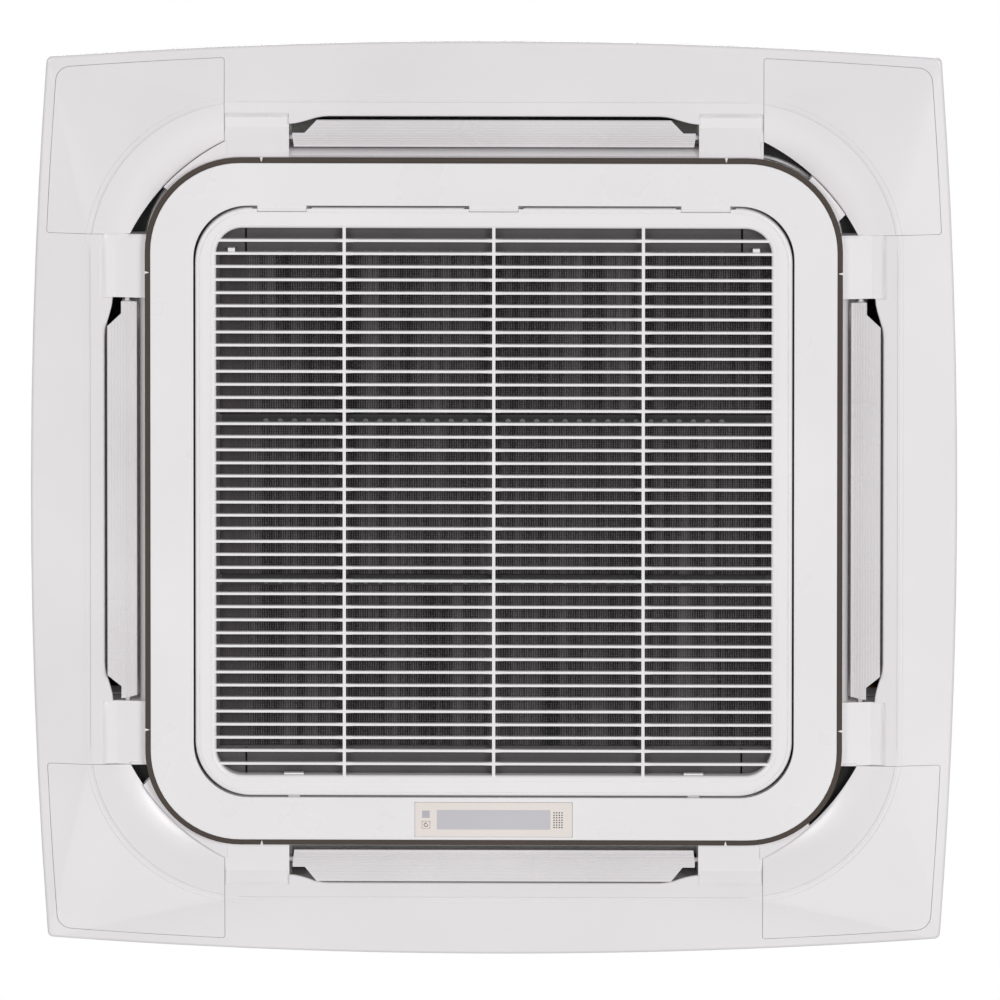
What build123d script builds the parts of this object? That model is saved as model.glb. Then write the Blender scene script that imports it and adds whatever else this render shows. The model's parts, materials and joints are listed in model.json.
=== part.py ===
from build123d import *
import os
from math import atan2, cos, degrees, hypot, pi, radians, sin, sqrt

# Ceiling cassette air conditioner, in millimetres. +Z points up, so the panel looks down.
# The origin is on the fan axis in the plane of the ceiling. +Y is the display side of the
# panel, -Y the side where the intake grille hinges. "d" is the distance from the centre,
# measured square to a side.

# ---- panel: visible outline and skin
panel_half = 475.0          # middle of a side
side_bulge = 17.0           # how far a corner lies inside the middle of a side
rim_corner_r = 6.0
rim_depth = 8.0             # rim height below the ceiling
rim_edge_r = 3.0
skin_t = 2.5                # wall of the mouldings
crease_half = 413.5         # where the sloping border meets the air channel
crease_r = 161.5
crease_depth = 18.5
crease_groove_w = 0.9
crease_grooves = ((0.0, 0.9), (2.2, 0.35), (6.0, 0.3))   # fine lines: outward step, depth
gasket_w = 4.0
gasket_h = 5.0

# ---- panel: air slots, end blocks and channel
slot_half_len = 210.0
slot_outer = 398.6
slot_roll = 2.6             # rounded lip of the channel at a slot
block_half_far = 276.0      # seam of a corner cover, the far end of an end block
block_level = 13.5          # depth of an end block's face at its outer end
block_fall = 5.0            # how far that face comes down towards the ring
block_ledge = (397.0, 14.8)  # where the face's steep part ends: distance, depth
block_shelf = 10.0          # width of the flat strip beside the crease
block_slope = 16.5          # width of the sloping strip after it
taper_len = 40.0            # slot end that narrows
taper_w = 8.0
taper_steps = 6
duct_top = 18.0
duct_lean = 6.0             # lean of the duct's inner wall
duct_outer_lean = 2.0       # lean of its outer wall
duct_bend = 2.0             # height where that wall becomes upright
pocket_floor = 3.5          # depth of the floor behind a corner cover
pocket_wall = 2.0
shelf_level = 18.5          # shelf beside the band, seen behind a corner cover's lip
shelf_gap = 0.4
floor_hole_far = 376.0      # openings in that floor
floor_hole_start = (338.0, 314.0)
floor_hole_cuts = (33.0, 21.0, 11.0)

# ---- corner covers
cover_inset = 10.0
cover_corner_r = 15.5
cover_seam_r = 3.0
cover_gap = 0.4
lip_end = 373.0
lip_middle = 332.0
channel_width = 57.0
channel_profile = ((20.0, -17.7), (40.0, -14.6), (57.0, -9.0))   # steps from the crease, levels
cover_pull = 0.3            # rest gap between a cover's feet and the floor

# ---- centre ring and its trim band
ring_depth = 30.0
band_half = 357.5
band_r = 98.0
band_w = 5.5
band_depth = 28.5
band_back = 25.0            # the band lies on a step of the frame at this depth
band_split = 238.0
band_split_gap = 0.8
band_notch_w = 3.2
band_notch_back = 1.2       # band left behind a notch
tooth_gap = 0.15
ring_inner_half = 307.8
ring_inner_r = 56.0

# ---- intake grille
grille_gap = 2.0
grille_depth = 31.0
grille_back = 16.0
grille_edge_r = 3.0
grille_outer_wall = 5.0
grille_groove_at = 4.2      # fine line round the front, from the edge
grille_groove_w = 1.0
grille_groove_depth = 1.1
opening_groove_at = 5.0      # second fine line, from the opening's edge
opening_groove_depth = 0.8
opening_half = 284.5
opening_r = 27.0
opening_edge_r = 3.8
clip_x = 268.8
clip_w = 7.2
clip_reach = 3.4
bar_pitch = 13.61
bar_shift = 0.35            # rows sit this far towards the display side
bar_count = 41
bar_t = 2.5
bar_depth = 6.5
bar_front = 30.3
rib_pitch = 153.2
rib_count = 3
rib_t = 3.2
bar_swell = 0.3
bar_swell_len = 8.7
bar_root = 2.2              # how far the bars run into the frame
hinge_x = (-217.0, 0.0, 217.0)
hinge_inset = 2.1           # axis, from the grille's front and from its edge
hinge_leaf_w = 50.0
hinge_leaf_t = 2.0
hinge_knuckle_r = 1.8
hinge_pin_r = 1.0
hinge_pin_over = 4.0
hinge_gap = 0.4
hinge_slot_w = 5.2          # dark slot at each end of a leaf
hinge_slot_depth = 1.0
hinge_slot_top = 19.0
running_gap = 0.05
latch_x = 205.0
latch_w = 20.0
latch_t = 4.0
latch_depth = 24.0
latch_tab = 2.0

# ---- filter
filter_half = 292.0
filter_end_border = 36.0
filter_side_borders = (11.0, 7.0)
filter_rib_y = 83.3
filter_rib_w = 11.0
filter_plate_t = 3.7
filter_rim = 6.0
filter_rim_w = 4.0
filter_corner_r = 44.0
filter_slit_x = 254.0
filter_slit_w = 2.2
filter_seat_gap = 0.3
mesh_t = 0.8

# ---- louvres
pivot_d = 376.0
pivot_depth = 7.5
louvre_half_len = 206.5
louvre_outer_half_len = 181.0
louvre_step_half_len = 194.0
louvre_step_d = 382.0
louvre_points = ((367.2, -9.5), (380.5, -18.3), (395.9, -25.2))
louvre_web_drop = 11.0      # from the pivot down to the blade
louvre_t = 2.4
louvre_grooves = 9
louvre_groove_r = 0.55
louvre_pin_r = 2.5
louvre_pin_len = 7.0
louvre_ear_r = 4.5
louvre_bead_r = 1.7
louvre_end_slant = 3.0
motor_body_r = 12.0
motor_body_len = 19.0
motor_shaft_offset = 9.0
motor_plate_t = 1.0

# ---- display on the ring
display_y = 330.7
display_len = 162.0
display_w = 36.5
display_gap = 0.3
window_len = 116.5
window_w = 20.4
sensor_size = 7.7
sensor_at = (-69.5, 325.0)
button_len = 7.9
button_w = 7.2
button_at = (-69.4, 336.0)
button_gap = 0.3
dot_r = 0.75
dot_pitch = (2.7, 2.56)
dot_grid = (4, 7)
dot_at = (66.1, 331.0)
board_depth = 19.0
board_t = 1.6

# ---- body
body_half = 420.0
body_chamfer = 150.0
body_bottom = 20.0
body_height = 245.0
sheet_t = 1.0
flange_w = 16.0
liner_t = 12.0
liner_top_t = 11.0
bracket_hole_foam = 6.0
top_rib_h = 1.0
pan_top = 60.0
pan_step = 52.0             # ledge that carries the bell mouth
pan_well_half = 270.0
well_half = 281.0
outlet_half_len = 208.0
outlet_lean = 18.0          # how far the pan's inner outlet wall leans outwards
trough_floor = 45.0
seal_w = 6.0
pad_t = 3.0                 # foam pads over the floors behind the corner covers
pad_lift = -0.7
pad_over = 1.5

# ---- fan
throat_r = 155.0
flare_r = 190.0
throat_top = 75.0
bell_t = 2.5
fan_r = 235.0
fan_bottom = 78.0
fan_top = 160.0
fan_eye_r = 163.0
fan_blades = 7
fan_sheet = 3.0
shaft_r = 6.0
shaft_bottom = 124.0
shaft_top = 214.0
hub_r = 20.0
motor_r = 72.0
motor_bottom = 180.0
motor_top = 238.0
mount_circle_r = 85.0
mount_r = 11.0
mounts = 3

# ---- coil
coil_outer = 328.0
coil_t = 40.0
coil_skin = 2.2             # thickness of the face that stands for the fins' edges
coil_inner_r = 60.0
coil_top = 251.7
coil_end = 212.0
coil_plate_t = 1.2
closing_t = 1.5
tube_r = 4.75
tube_pitch = 21.0
tube_rows = 9
bend_rows = 4

# ---- refrigerant and drain lines
gas_r = 8.0
liquid_r = 4.76
gas_thread_r = 11.11
liquid_thread_r = 7.94
thread_len = 16.0
nut_len = 18.0
union_gap = 8.0             # from the casing to a union
pipe_y = 228.0
gas_z = 215.0
liquid_z = 165.0
pipe_wall_gap = 0.5
plug_at = 278.0
plug_r = 8.7
pump_at = 291.0
pump_r = 28.0
pump_bottom = 46.0
pump_top = 130.0
pump_chamber_r = 22.0
pump_impeller_r = 18.0
float_step = 32.0
float_r = 12.0
float_h = 16.0
stem_r = 3.0
drain_x = 250.0
drain_z = 190.0
drain_r = 16.0
drain_hose_r = 12.5
drain_spigot_len = 45.0

# ---- electrical box
box_len = 340.0
box_w = 96.0
box_h = 41.0
box_y = 214.0
box_t = 1.0

# ---- hanging brackets and fasteners
hanger_x = 390.0
hanger_y = 340.0
hanger_z = 120.0
hanger_t = 2.5
hanger_slot_w = 13.0
hanger_slot_len = 30.0
screw_r = 2.4
screw_gap = 0.1
panel_screw_at = (312.0, 364.0)
panel_screw_r = 2.5
panel_screw_head = 2.2
cable_y = -200.0
cable_z = 90.0
cable_bore_r = 9.0
cable_hole_r = 13.0

# ---- worked out
top_plane = body_bottom + body_height
top_sheet = top_plane - top_rib_h - sheet_t
pan_bottom = body_bottom + sheet_t
grille_half = ring_inner_half - grille_gap
grille_r = ring_inner_r + 1.0
hinge_y = -(grille_half - hinge_inset)
hinge_depth = grille_depth - hinge_inset
duct_inner = band_half + duct_lean
coil_inner = coil_outer - coil_t
far = 600.0

SIDES = {"front": 0, "left": 90, "back": 180, "right": 270}
CORNERS = {"front_right": 0, "front_left": 90, "back_left": 180, "back_right": 270}


# ---- small helpers
def slab(face, low, high):
    return extrude(Pos(0, 0, low) * face, amount=high - low, dir=(0, 0, 1))


def block(x0, x1, y0, y1, z0, z1):
    return Pos((x0 + x1) / 2, (y0 + y1) / 2, (z0 + z1) / 2) * Box(x1 - x0, y1 - y0, z1 - z0)


def rod(x, y, z0, z1, r):
    return Pos(x, y, (z0 + z1) / 2) * Cylinder(r, z1 - z0)


def rod_x(x0, x1, y, z, r):
    return Pos((x0 + x1) / 2, y, z) * Rot(0, 90, 0) * Cylinder(r, x1 - x0)


def rod_y(y0, y1, x, z, r):
    return Pos(x, (y0 + y1) / 2, z) * Rot(90, 0, 0) * Cylinder(r, y1 - y0)


def turned(shape, angle):
    return Rot(0, 0, angle) * shape


def around(shape):
    return [turned(shape, angle) for angle in SIDES.values()]


def square(half, r):
    return RectangleRounded(2 * half, 2 * half, r)


def square_ring(half, r, wall, low, high):
    return slab(square(half, r) - square(half - wall, r - wall), low, high)


def octagon(half, chamfer):
    c = half - chamfer
    return Polygon((half, c), (c, half), (-c, half), (-half, c), (-half, -c), (-c, -half), (c, -half),
                   (half, -c), align=None)


def body_outline(inset):
    return octagon(body_half - inset, body_chamfer - inset * (2 - sqrt(2)))


def along_x(face, x0, x1):
    """A face drawn as (d, z) becomes a bar from x0 to x1 on the +Y side."""
    return extrude(Plane.YZ.offset(x0) * face, amount=x1 - x0, dir=(1, 0, 0))


def arc_strip(points, t):
    """A strip of thickness t along the circle through three points."""
    (ax, ay), (bx, by), (cx, cy) = points
    k = 2 * (ax * (by - cy) + bx * (cy - ay) + cx * (ay - by))
    sa, sb, sc = ax**2 + ay**2, bx**2 + by**2, cx**2 + cy**2
    ox = (sa * (by - cy) + sb * (cy - ay) + sc * (ay - by)) / k
    oy = (sa * (cx - bx) + sb * (ax - cx) + sc * (bx - ax)) / k
    r = hypot(ax - ox, ay - oy)

    def at(point, radius):
        angle = atan2(point[1] - oy, point[0] - ox)
        return (ox + radius * cos(angle), oy + radius * sin(angle))

    inner = [at(p, r - t / 2) for p in points]
    outer = [at(p, r + t / 2) for p in points]
    edges = [ThreePointArc(*inner), Line(inner[2], outer[2]), ThreePointArc(*reversed(outer)),
             Line(outer[0], inner[0])]
    return make_face(edges)


def save(name, shape):
    export_step(shape, f"parts/{name}.step")


def group(shapes):
    return Compound(children=[s.solid() if len(s.solids()) == 1 else s for s in shapes])


# ---- panel skin
def bulged(half, corner_r):
    c = half - side_bulge
    corners = [(c, -c), (c, c), (-c, c), (-c, -c)]
    middles = [(half, 0), (0, half), (-half, 0), (0, -half)]
    arcs = [ThreePointArc(corners[i], middles[i], corners[(i + 1) % 4]) for i in range(4)]
    face = make_face(arcs)
    return fillet(face.vertices(), corner_r)


def border_envelope(inset, lift):
    """Everything behind the sloping border, from the ceiling down to the crease."""
    rim = bulged(panel_half - inset, rim_corner_r)
    crease = square(crease_half, crease_r)
    rim_z, crease_z = -rim_depth + lift, -crease_depth + lift
    wires = [(Pos(0, 0, rim_z) * rim).wire(), (Pos(0, 0, crease_z) * crease).wire()]
    slope = Solid.make_loft(wires, ruled=True)
    return slab(rim, rim_z, 0) + slope


def make_border():
    envelope = border_envelope(0, 0)
    cavity = border_envelope(skin_t, skin_t)
    rim_edges = [e for e in envelope.edges() if abs(e.center().Z + rim_depth) < 0.01]
    rounded = fillet(rim_edges, rim_edge_r)
    skin = rounded - cavity - slab(square(crease_half, crease_r), -far, far)
    for step, depth in crease_grooves:
        half = crease_half + step + crease_groove_w / 2
        r = crease_r + step + crease_groove_w / 2
        slope = (crease_depth - rim_depth) / (panel_half - crease_half)
        level = crease_depth - step * slope
        ring = square_ring(half, r, crease_groove_w, -far, -level + depth)
        skin = skin - ring
    return skin, rounded, cavity


def block_curve(lift):
    """Visible profile of an end block, from the crease inwards, as (d, z)."""
    shelf_d = crease_half - block_shelf
    floor_d = shelf_d - block_slope
    ledge_d, ledge_level = block_ledge
    start = (crease_half, -crease_depth + lift)
    shelf = (shelf_d, -crease_depth + 0.3 + lift)
    ledge = (ledge_d, -ledge_level + lift)
    floor = (floor_d, -block_level + lift)
    inner = (band_half - skin_t, -block_level - block_fall + lift)
    slope = Spline(shelf, ledge, tangents=[(-1, 0.03), (-1, 0.12)])
    return [Line(start, shelf), slope, Line(ledge, floor), Line(floor, inner)], start, inner


def block_face(top):
    """The profile closed by a flat top, or by its own offset where top is None."""
    curve, start, inner = block_curve(0)
    if top is None:
        back, back_start, back_inner = block_curve(skin_t)
        edges = curve + [Line(inner, back_inner)] + back + [Line(back_start, start)]
        return make_face(edges)
    lid = [Line(inner, (inner[0], top)), Line((inner[0], top), (start[0], top)), Line((start[0], top), start)]
    return make_face(curve + lid)


def channel_lip_face(shift):
    """Section of the channel along a slot, rolling over into the slot."""
    lip_d = slot_outer - shift
    roll_d = lip_d + slot_roll * 0.7
    start = (crease_half, -crease_depth)
    flat = (roll_d, -crease_depth + 0.3)
    edge = (lip_d, -crease_depth + slot_roll)
    top = -crease_depth + slot_roll + skin_t
    roll = Spline(flat, edge, tangents=[(-1, 0.05), (-0.05, 1)])
    edges = [Line(start, flat), roll, Line(edge, (lip_d, top)), Line((lip_d, top), (crease_half, top)),
             Line((crease_half, top), start)]
    return make_face(edges)


def slot_taper(sign):
    """End of the rolled lip, which swings inwards towards the end block."""
    wires = []
    for i in range(taper_steps + 1):
        u = i / taper_steps
        x = slot_half_len - taper_len * (1 - u)
        section = channel_lip_face(taper_w * u * u * (3 - 2 * u))
        wires.append((Plane.YZ.offset(sign * x) * section).wire())
    return Solid.make_loft(wires, ruled=True)


def duct_wall_face():
    """Section of the duct's inner wall: it leans outwards, then stands upright."""
    low = -block_level
    front = Spline((band_half, low), (duct_inner, duct_bend), tangents=[(0.8, 1), (0, 1)])
    back_d = duct_inner - skin_t
    corners = [(duct_inner, duct_bend), (duct_inner, duct_top), (back_d, duct_top), (back_d, duct_bend + 1.5),
               (band_half - skin_t, low + 1.5), (band_half - skin_t, low), (band_half, low)]
    return make_face([front] + [Line(a, b) for a, b in zip(corners, corners[1:])])


def duct_outer_face():
    """Section of the duct's outer wall, which leans inwards as it rises."""
    low, foot, head = -crease_depth + slot_roll, slot_outer, slot_outer - duct_outer_lean
    return Polygon((foot, low), (head, duct_top), (head + skin_t, duct_top), (foot + skin_t, low), align=None)


def side_part():
    """End blocks, channel lip and duct collar of the +Y side."""
    skin = block_face(None)
    wall = block_face(-1.0)
    duct_in, duct_out = band_half, slot_outer
    lip_half_len = slot_half_len - taper_len
    solid = along_x(channel_lip_face(0), -lip_half_len, lip_half_len)
    for sign in (-1, 1):
        ends = sorted((sign * slot_half_len, sign * block_half_far))
        solid += along_x(skin, *ends)
        near = sorted((sign * slot_half_len, sign * (slot_half_len + skin_t)))
        seam = sorted((sign * (block_half_far - skin_t), sign * block_half_far))
        solid += along_x(wall, *near)
        solid += along_x(wall, *seam)
        solid += block(*near, duct_in - skin_t, duct_out + skin_t, -3.0, duct_top)
        solid += slot_taper(sign)
    solid += along_x(duct_outer_face(), -slot_half_len, slot_half_len)
    solid += along_x(duct_wall_face(), -slot_half_len, slot_half_len)
    hole = rod_x(-far, far, pivot_d, -pivot_depth, louvre_ear_r + 0.1)
    return solid - hole


def cover_prism(grow):
    """The +X +Y corner cover's outline without its lip, as a tall prism."""
    rim = slab(bulged(panel_half - cover_inset + grow, cover_corner_r + grow), -60, 10)
    near = block_half_far - grow
    prism = rim & block(near, far, near, far, -61, 11)
    seams = [e for e in prism.edges().filter_by(Axis.Z)
             if abs(min(e.center().X, e.center().Y) - near) < 0.01 and max(e.center().X, e.center().Y) > 400]
    return fillet(seams, cover_seam_r + grow)


def lip_cutter(gap=0):
    """The space inside a corner cover's lip, or a gap less of it."""
    near = band_half - 3 * skin_t - 90
    end, middle = lip_end - gap, lip_middle - gap / sqrt(2)
    a, b, m = (block_half_far, end), (end, block_half_far), (middle, middle)
    edges = [ThreePointArc(a, m, b), Line(b, (end, near)), Line((end, near), (near, near)),
             Line((near, near), (near, end)), Line((near, end), a)]
    return slab(make_face(edges), -far, far)


def cover_channel():
    """Curved channel of a corner cover: a profile turned about the crease's corner centre."""
    c = crease_half - crease_r

    def edge(lift):
        points = [(c + crease_r, -crease_depth + lift)]
        points += [(c + crease_r - step, level + lift) for step, level in channel_profile]
        return Spline(*points, tangents=[(-1, 0.02), (-1, 0.45)])

    low, high = edge(0), edge(skin_t)
    edges = [low, Line(low @ 1, high @ 1), high, Line(high @ 0, low @ 0)]
    face = Plane(origin=(0, c, 0), x_dir=(1, 0, 0), z_dir=(0, -1, 0)) * make_face(edges)
    return revolve(face, axis=Axis((c, c, 0), (0, 0, 1)), revolution_arc=90)


def cover_feet(border_back):
    solid = None
    for x, y in ((310, 440), (440, 310), (438, 438)):
        post = rod(x, y, -crease_depth, -pocket_floor - cover_pull, 4) - rod(x, y, -far, far, 2)
        post = post & border_back
        solid = post if solid is None else solid + post
    return solid


def make_corner_cover(skin, cavity):
    prism = cover_prism(-cover_gap)
    plate = skin & prism
    channel = cover_channel() & prism
    cover = plate + channel + cover_feet(cavity)
    return cover - lip_cutter()


def pocket(rounded):
    band = block(0, far, 0, far, -crease_depth - 1, -1.0)
    wall = (cover_prism(pocket_wall) & band) & rounded
    inside = block(0, far, 0, far, -far, -pocket_floor)
    shell = wall - (cover_prism(0) & inside)
    below = make_face([*block_curve(0)[0], Line(block_curve(0)[2], (block_curve(0)[2][0], -far)),
                       Line((block_curve(0)[2][0], -far), (crease_half, -far)),
                       Line((crease_half, -far), block_curve(0)[1])])
    void = along_x(below, block_half_far - 10, block_half_far)
    mirrored = mirror(void, about=Plane(origin=(0, 0, 0), z_dir=(1, -1, 0)))
    core = slab(square(band_half - skin_t, band_r - skin_t), -far, far)
    band = slab(square(band_half, band_r), -far, -block_level)
    return shell - void - mirrored - core - band


def floor_holes():
    """Openings in the floor behind the corner covers, each ended by a slanting edge."""
    near, out = block_half_far, floor_hole_far
    start, end = floor_hole_start
    wide, middle, narrow = floor_hole_cuts
    return [
        ((near, near), (out, near), (out, out), (out - wide, out), (near, near - wide)),
        ((-start, near), (-out, near), (-out, end)),
        ((-near, -near), (-out, -near), (-out, -out + middle)),
        ((near, -near - narrow), (near, -out), (out - narrow, -out)),
        ((start, -near), (out, -near), (out, -end)),
    ]


def corner_shelf():
    """Shelf between the band and the +X +Y cover's lip."""
    start = block_half_far - skin_t
    shelf = lip_cutter(shelf_gap) & block(start, far, start, far, -shelf_level, -shelf_level + skin_t)
    return shelf - slab(square(band_half - skin_t / 2, band_r - skin_t / 2), -far, far)


def make_panel_frame(skin, rounded):
    prism = cover_prism(0)
    frame = skin
    for angle in CORNERS.values():
        frame = frame - turned(prism, angle)
    for angle in SIDES.values():
        frame = frame + turned(side_part(), angle)
    corner = pocket(rounded)
    for angle in CORNERS.values():
        frame = frame + turned(corner, angle)
    frame = frame + slab(square(band_half, band_r) - square(ring_inner_half, ring_inner_r), -block_level,
                         -block_level + skin_t)
    frame = frame + square_ring(band_half, band_r, skin_t, -band_back, duct_top)
    frame = frame + square_ring(ring_inner_half + skin_t, ring_inner_r + skin_t, skin_t, -block_level, duct_top)
    shelf = corner_shelf()
    for angle in CORNERS.values():
        frame = frame + turned(shelf, angle)
    for corners in floor_holes():
        hole = slab(Polygon(*corners, align=None), -band_back + skin_t, 0)
        frame = frame - (hole - slab(square(band_half - skin_t - 1, band_r - skin_t - 1), -far, far))
    for shape in band_notches(tooth_gap, -band_depth + 0.3):
        frame = frame + shape
    for x, y in panel_screw_spots():
        frame = frame - rod(x, y, -pocket_floor - 1, 0, panel_screw_r + screw_gap)
    return frame


def panel_screw_spots():
    x, y = panel_screw_at
    return [(x, y), (-y, x), (-x, -y), (y, -x)]


def make_ceiling_gasket():
    rim = bulged(panel_half - skin_t, rim_corner_r)
    inner = bulged(panel_half - skin_t - gasket_w, rim_corner_r)
    return slab(rim, -gasket_h, 0) - slab(inner, -gasket_h - 1, 1)


# ---- centre ring, band and display
def make_centre_ring():
    face_half, face_r = band_half - band_w, band_r - band_w
    plate = slab(square(face_half, face_r) - square(ring_inner_half, ring_inner_r), -ring_depth,
                 -ring_depth + skin_t)
    outer = square_ring(face_half, face_r, skin_t, -ring_depth, -block_level)
    inner = square_ring(ring_inner_half + skin_t, ring_inner_r + skin_t, skin_t, -ring_depth, -block_level)
    ring = plate + outer + inner
    soft = [e for e in ring.edges() if abs(e.center().Z + ring_depth) < 0.01]
    ring = fillet(soft, 1.0)
    ring = ring - block(-display_len / 2, display_len / 2, display_y - display_w / 2,
                        display_y + display_w / 2, -ring_depth - 1, -ring_depth + skin_t + 1)
    for side in (-1, 1):
        ring = ring - block(side * latch_x - latch_w / 2 + 3, side * latch_x + latch_w / 2 - 3,
                            ring_inner_half - 1, ring_inner_half + skin_t + 1, -latch_depth - 0.5,
                            -latch_depth + latch_t + 0.5)
    for x in hinge_x:
        ring = ring + hinge_leaf(x)
    return ring


def hinge_leaf(x):
    """A wide leaf that reaches from the ring's wall to the pin."""
    x0, x1 = x - hinge_leaf_w / 2, x + hinge_leaf_w / 2
    knuckle = rod_x(x0, x1, hinge_y, -hinge_depth, hinge_knuckle_r)
    arm = block(x0, x1, -ring_inner_half - 0.5, hinge_y, -hinge_depth - hinge_leaf_t / 2,
                -hinge_depth + hinge_leaf_t / 2)
    return knuckle + arm - rod_x(x0 - 1, x1 + 1, hinge_y, -hinge_depth, hinge_pin_r + running_gap)


def make_trim_band():
    band = square_ring(band_half, band_r, band_w, -band_depth, -band_back)
    soft = [e for e in band.edges() if abs(e.center().Z + band_depth) < 0.01]
    band = fillet(soft, 0.8)
    for shape in band_notches(0, -band_depth - 1):
        band = band - shape
    return band


def band_notches(gap, low):
    """Wedges at the splits of the band. With a gap they are the teeth that stand in them."""
    outer_w, inner_w = band_notch_w / 2 - gap, band_split_gap / 2 - gap
    back = band_half - band_w + band_notch_back + gap
    face = band_half + 0.2
    notch = Polygon((-outer_w, face), (outer_w, face), (inner_w, back), (-inner_w, back), align=None)
    shapes = []
    for side in (-1, 1):
        shapes += around(slab(Pos(side * band_split, 0) * notch, low, -band_back + 0.5))
    return shapes


def make_display_bezel():
    half_len, half_w = display_len / 2 - display_gap, display_w / 2 - display_gap
    low = -ring_depth - display_gap
    plate = slab(Pos(0, display_y) * RectangleRounded(2 * half_len, 2 * half_w, 0.8), low, low + skin_t)
    plate = plate - block(-window_len / 2, window_len / 2, display_y - window_w / 2, display_y + window_w / 2,
                          low - 1, low + skin_t + 1)
    sx, sy = sensor_at
    plate = plate - block(sx - sensor_size / 2, sx + sensor_size / 2, sy - sensor_size / 2,
                          sy + sensor_size / 2, low - 1, low + skin_t + 1)
    bx, by = button_at
    bl, bw = button_len / 2 + button_gap, button_w / 2 + button_gap
    plate = plate - block(bx - bl, bx + bl, by - bw, by + bw, low - 1, low + skin_t + 1)
    dots = GridLocations(dot_pitch[0], dot_pitch[1], dot_grid[0], dot_grid[1])
    holes = Sketch() + [Pos(*dot_at) * spot * Circle(dot_r) for spot in dots]
    plate = plate - slab(holes, low - 1, low + skin_t + 1)
    for x in (-half_len + 3, half_len - 3):
        plate = plate + rod(x, display_y, low + skin_t, -board_depth, 2.5)
    return plate


def make_display_window():
    low = -ring_depth - display_gap
    return slab(Pos(0, display_y) * Rectangle(window_len, window_w), low + 0.2, -board_depth)


def make_sensor_window():
    low = -ring_depth - display_gap
    return slab(Pos(*sensor_at) * Rectangle(sensor_size, sensor_size), low + 0.2, -board_depth)


def make_power_button():
    low = -ring_depth - display_gap - 0.4
    cap = slab(Pos(*button_at) * RectangleRounded(button_len, button_w, 1.0), low, low + 3.5)
    stem = rod(*button_at, low + 3.5, -board_depth - 1.5, 2.0)
    return cap + stem


def make_display_board():
    half_len, half_w = display_len / 2 - 1, display_w / 2 - 1.5
    board = block(-half_len, half_len, display_y - half_w, display_y + half_w, -board_depth,
                  -board_depth + board_t)
    plug = block(20, 40, display_y - 6, display_y + 2, -board_depth + board_t, -board_depth + board_t + 3.5)
    return board + plug


# ---- intake grille, latches and filter
def grille_cells():
    """Open cells between the bars, in plan, with bars that thicken towards the ribs."""
    span = bar_pitch * (bar_count - 1) / 2
    rows = [-span + i * bar_pitch + bar_shift for i in range(bar_count)]
    ribs = [(i - (rib_count - 1) / 2) * rib_pitch for i in range(rib_count)]
    edges_y = [-far / 2] + rows + [far / 2]
    edges_x = [-far / 2] + ribs + [far / 2]
    cells = []
    for i in range(len(edges_y) - 1):
        y0 = edges_y[i] + (bar_t / 2 if i else 0)
        y1 = edges_y[i + 1] - (bar_t / 2 if i < len(edges_y) - 2 else 0)
        for j in range(len(edges_x) - 1):
            left, right = j > 0, j < len(edges_x) - 2
            x0 = edges_x[j] + (rib_t / 2 if left else 0)
            x1 = edges_x[j + 1] - (rib_t / 2 if right else 0)
            s = bar_swell
            points = []
            points += [(x0, y0 + s), (x0 + bar_swell_len, y0)] if left else [(x0, y0)]
            points += [(x1 - bar_swell_len, y0), (x1, y0 + s)] if right else [(x1, y0)]
            points += [(x1, y1 - s), (x1 - bar_swell_len, y1)] if right else [(x1, y1)]
            points += [(x0 + bar_swell_len, y1), (x0, y1 - s)] if left else [(x0, y1)]
            cells.append(Polygon(*points, align=None))
    return cells


def make_intake_grille():
    outer, inner = square(grille_half, grille_r), square(opening_half, opening_r)
    front = slab(outer - inner, -grille_depth, -grille_depth + skin_t)
    wall = square_ring(grille_half, grille_r, grille_outer_wall, -grille_depth, -grille_back)
    lip = square_ring(opening_half + skin_t, opening_r + skin_t, skin_t, -grille_depth, -grille_back)
    frame = front + wall + lip
    low = [e for e in frame.edges() if abs(e.center().Z + grille_depth) < 0.01]
    outer_edges = [e for e in low if hypot(e.center().X, e.center().Y) > (grille_half + opening_half) / 2
                   and max(abs(e.center().X), abs(e.center().Y)) > opening_half + 5
                   or hypot(e.center().X, e.center().Y) > 395]
    inner_edges = [e for e in low if e not in outer_edges]
    frame = fillet(outer_edges, grille_edge_r)
    corners = [e.center() for e in inner_edges]
    inner_edges = [e for e in frame.edges() if any((e.center() - c).length < 0.01 for c in corners)]
    frame = fillet(inner_edges, opening_edge_r)
    groove = grille_groove_w / 2 - grille_groove_at
    frame = frame - square_ring(grille_half + groove, grille_r + groove, grille_groove_w, -far,
                                -grille_depth + grille_groove_depth)
    groove = opening_groove_at + grille_groove_w
    frame = frame - square_ring(opening_half + groove, opening_r + groove, grille_groove_w, -far,
                                -grille_depth + opening_groove_depth)
    net = square(opening_half + bar_root, opening_r + bar_root)
    for cell in grille_cells():
        net = net - cell
    frame = frame + slab(net, -bar_front, -bar_front + bar_depth)
    bar_back = -bar_front + bar_depth - 0.2
    clip_row = -bar_pitch * (bar_count - 3) / 2 + bar_shift
    for side in (-1, 1):
        frame = frame + block(side * clip_x - clip_w / 2, side * clip_x + clip_w / 2,
                              clip_row - bar_t / 2 - clip_reach, clip_row + 0.5, bar_back, -grille_back - 0.5)
    for x in hinge_x:
        frame = frame - hinge_cut(x)
    for side in (-1, 1):
        x0, x1 = side * latch_x - latch_w / 2 - 0.3, side * latch_x + latch_w / 2 + 0.3
        frame = frame - block(x0, x1, opening_half - 1, grille_half + 1, -latch_depth - 0.3,
                              -latch_depth + latch_t + 0.3)
    return frame


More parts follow.
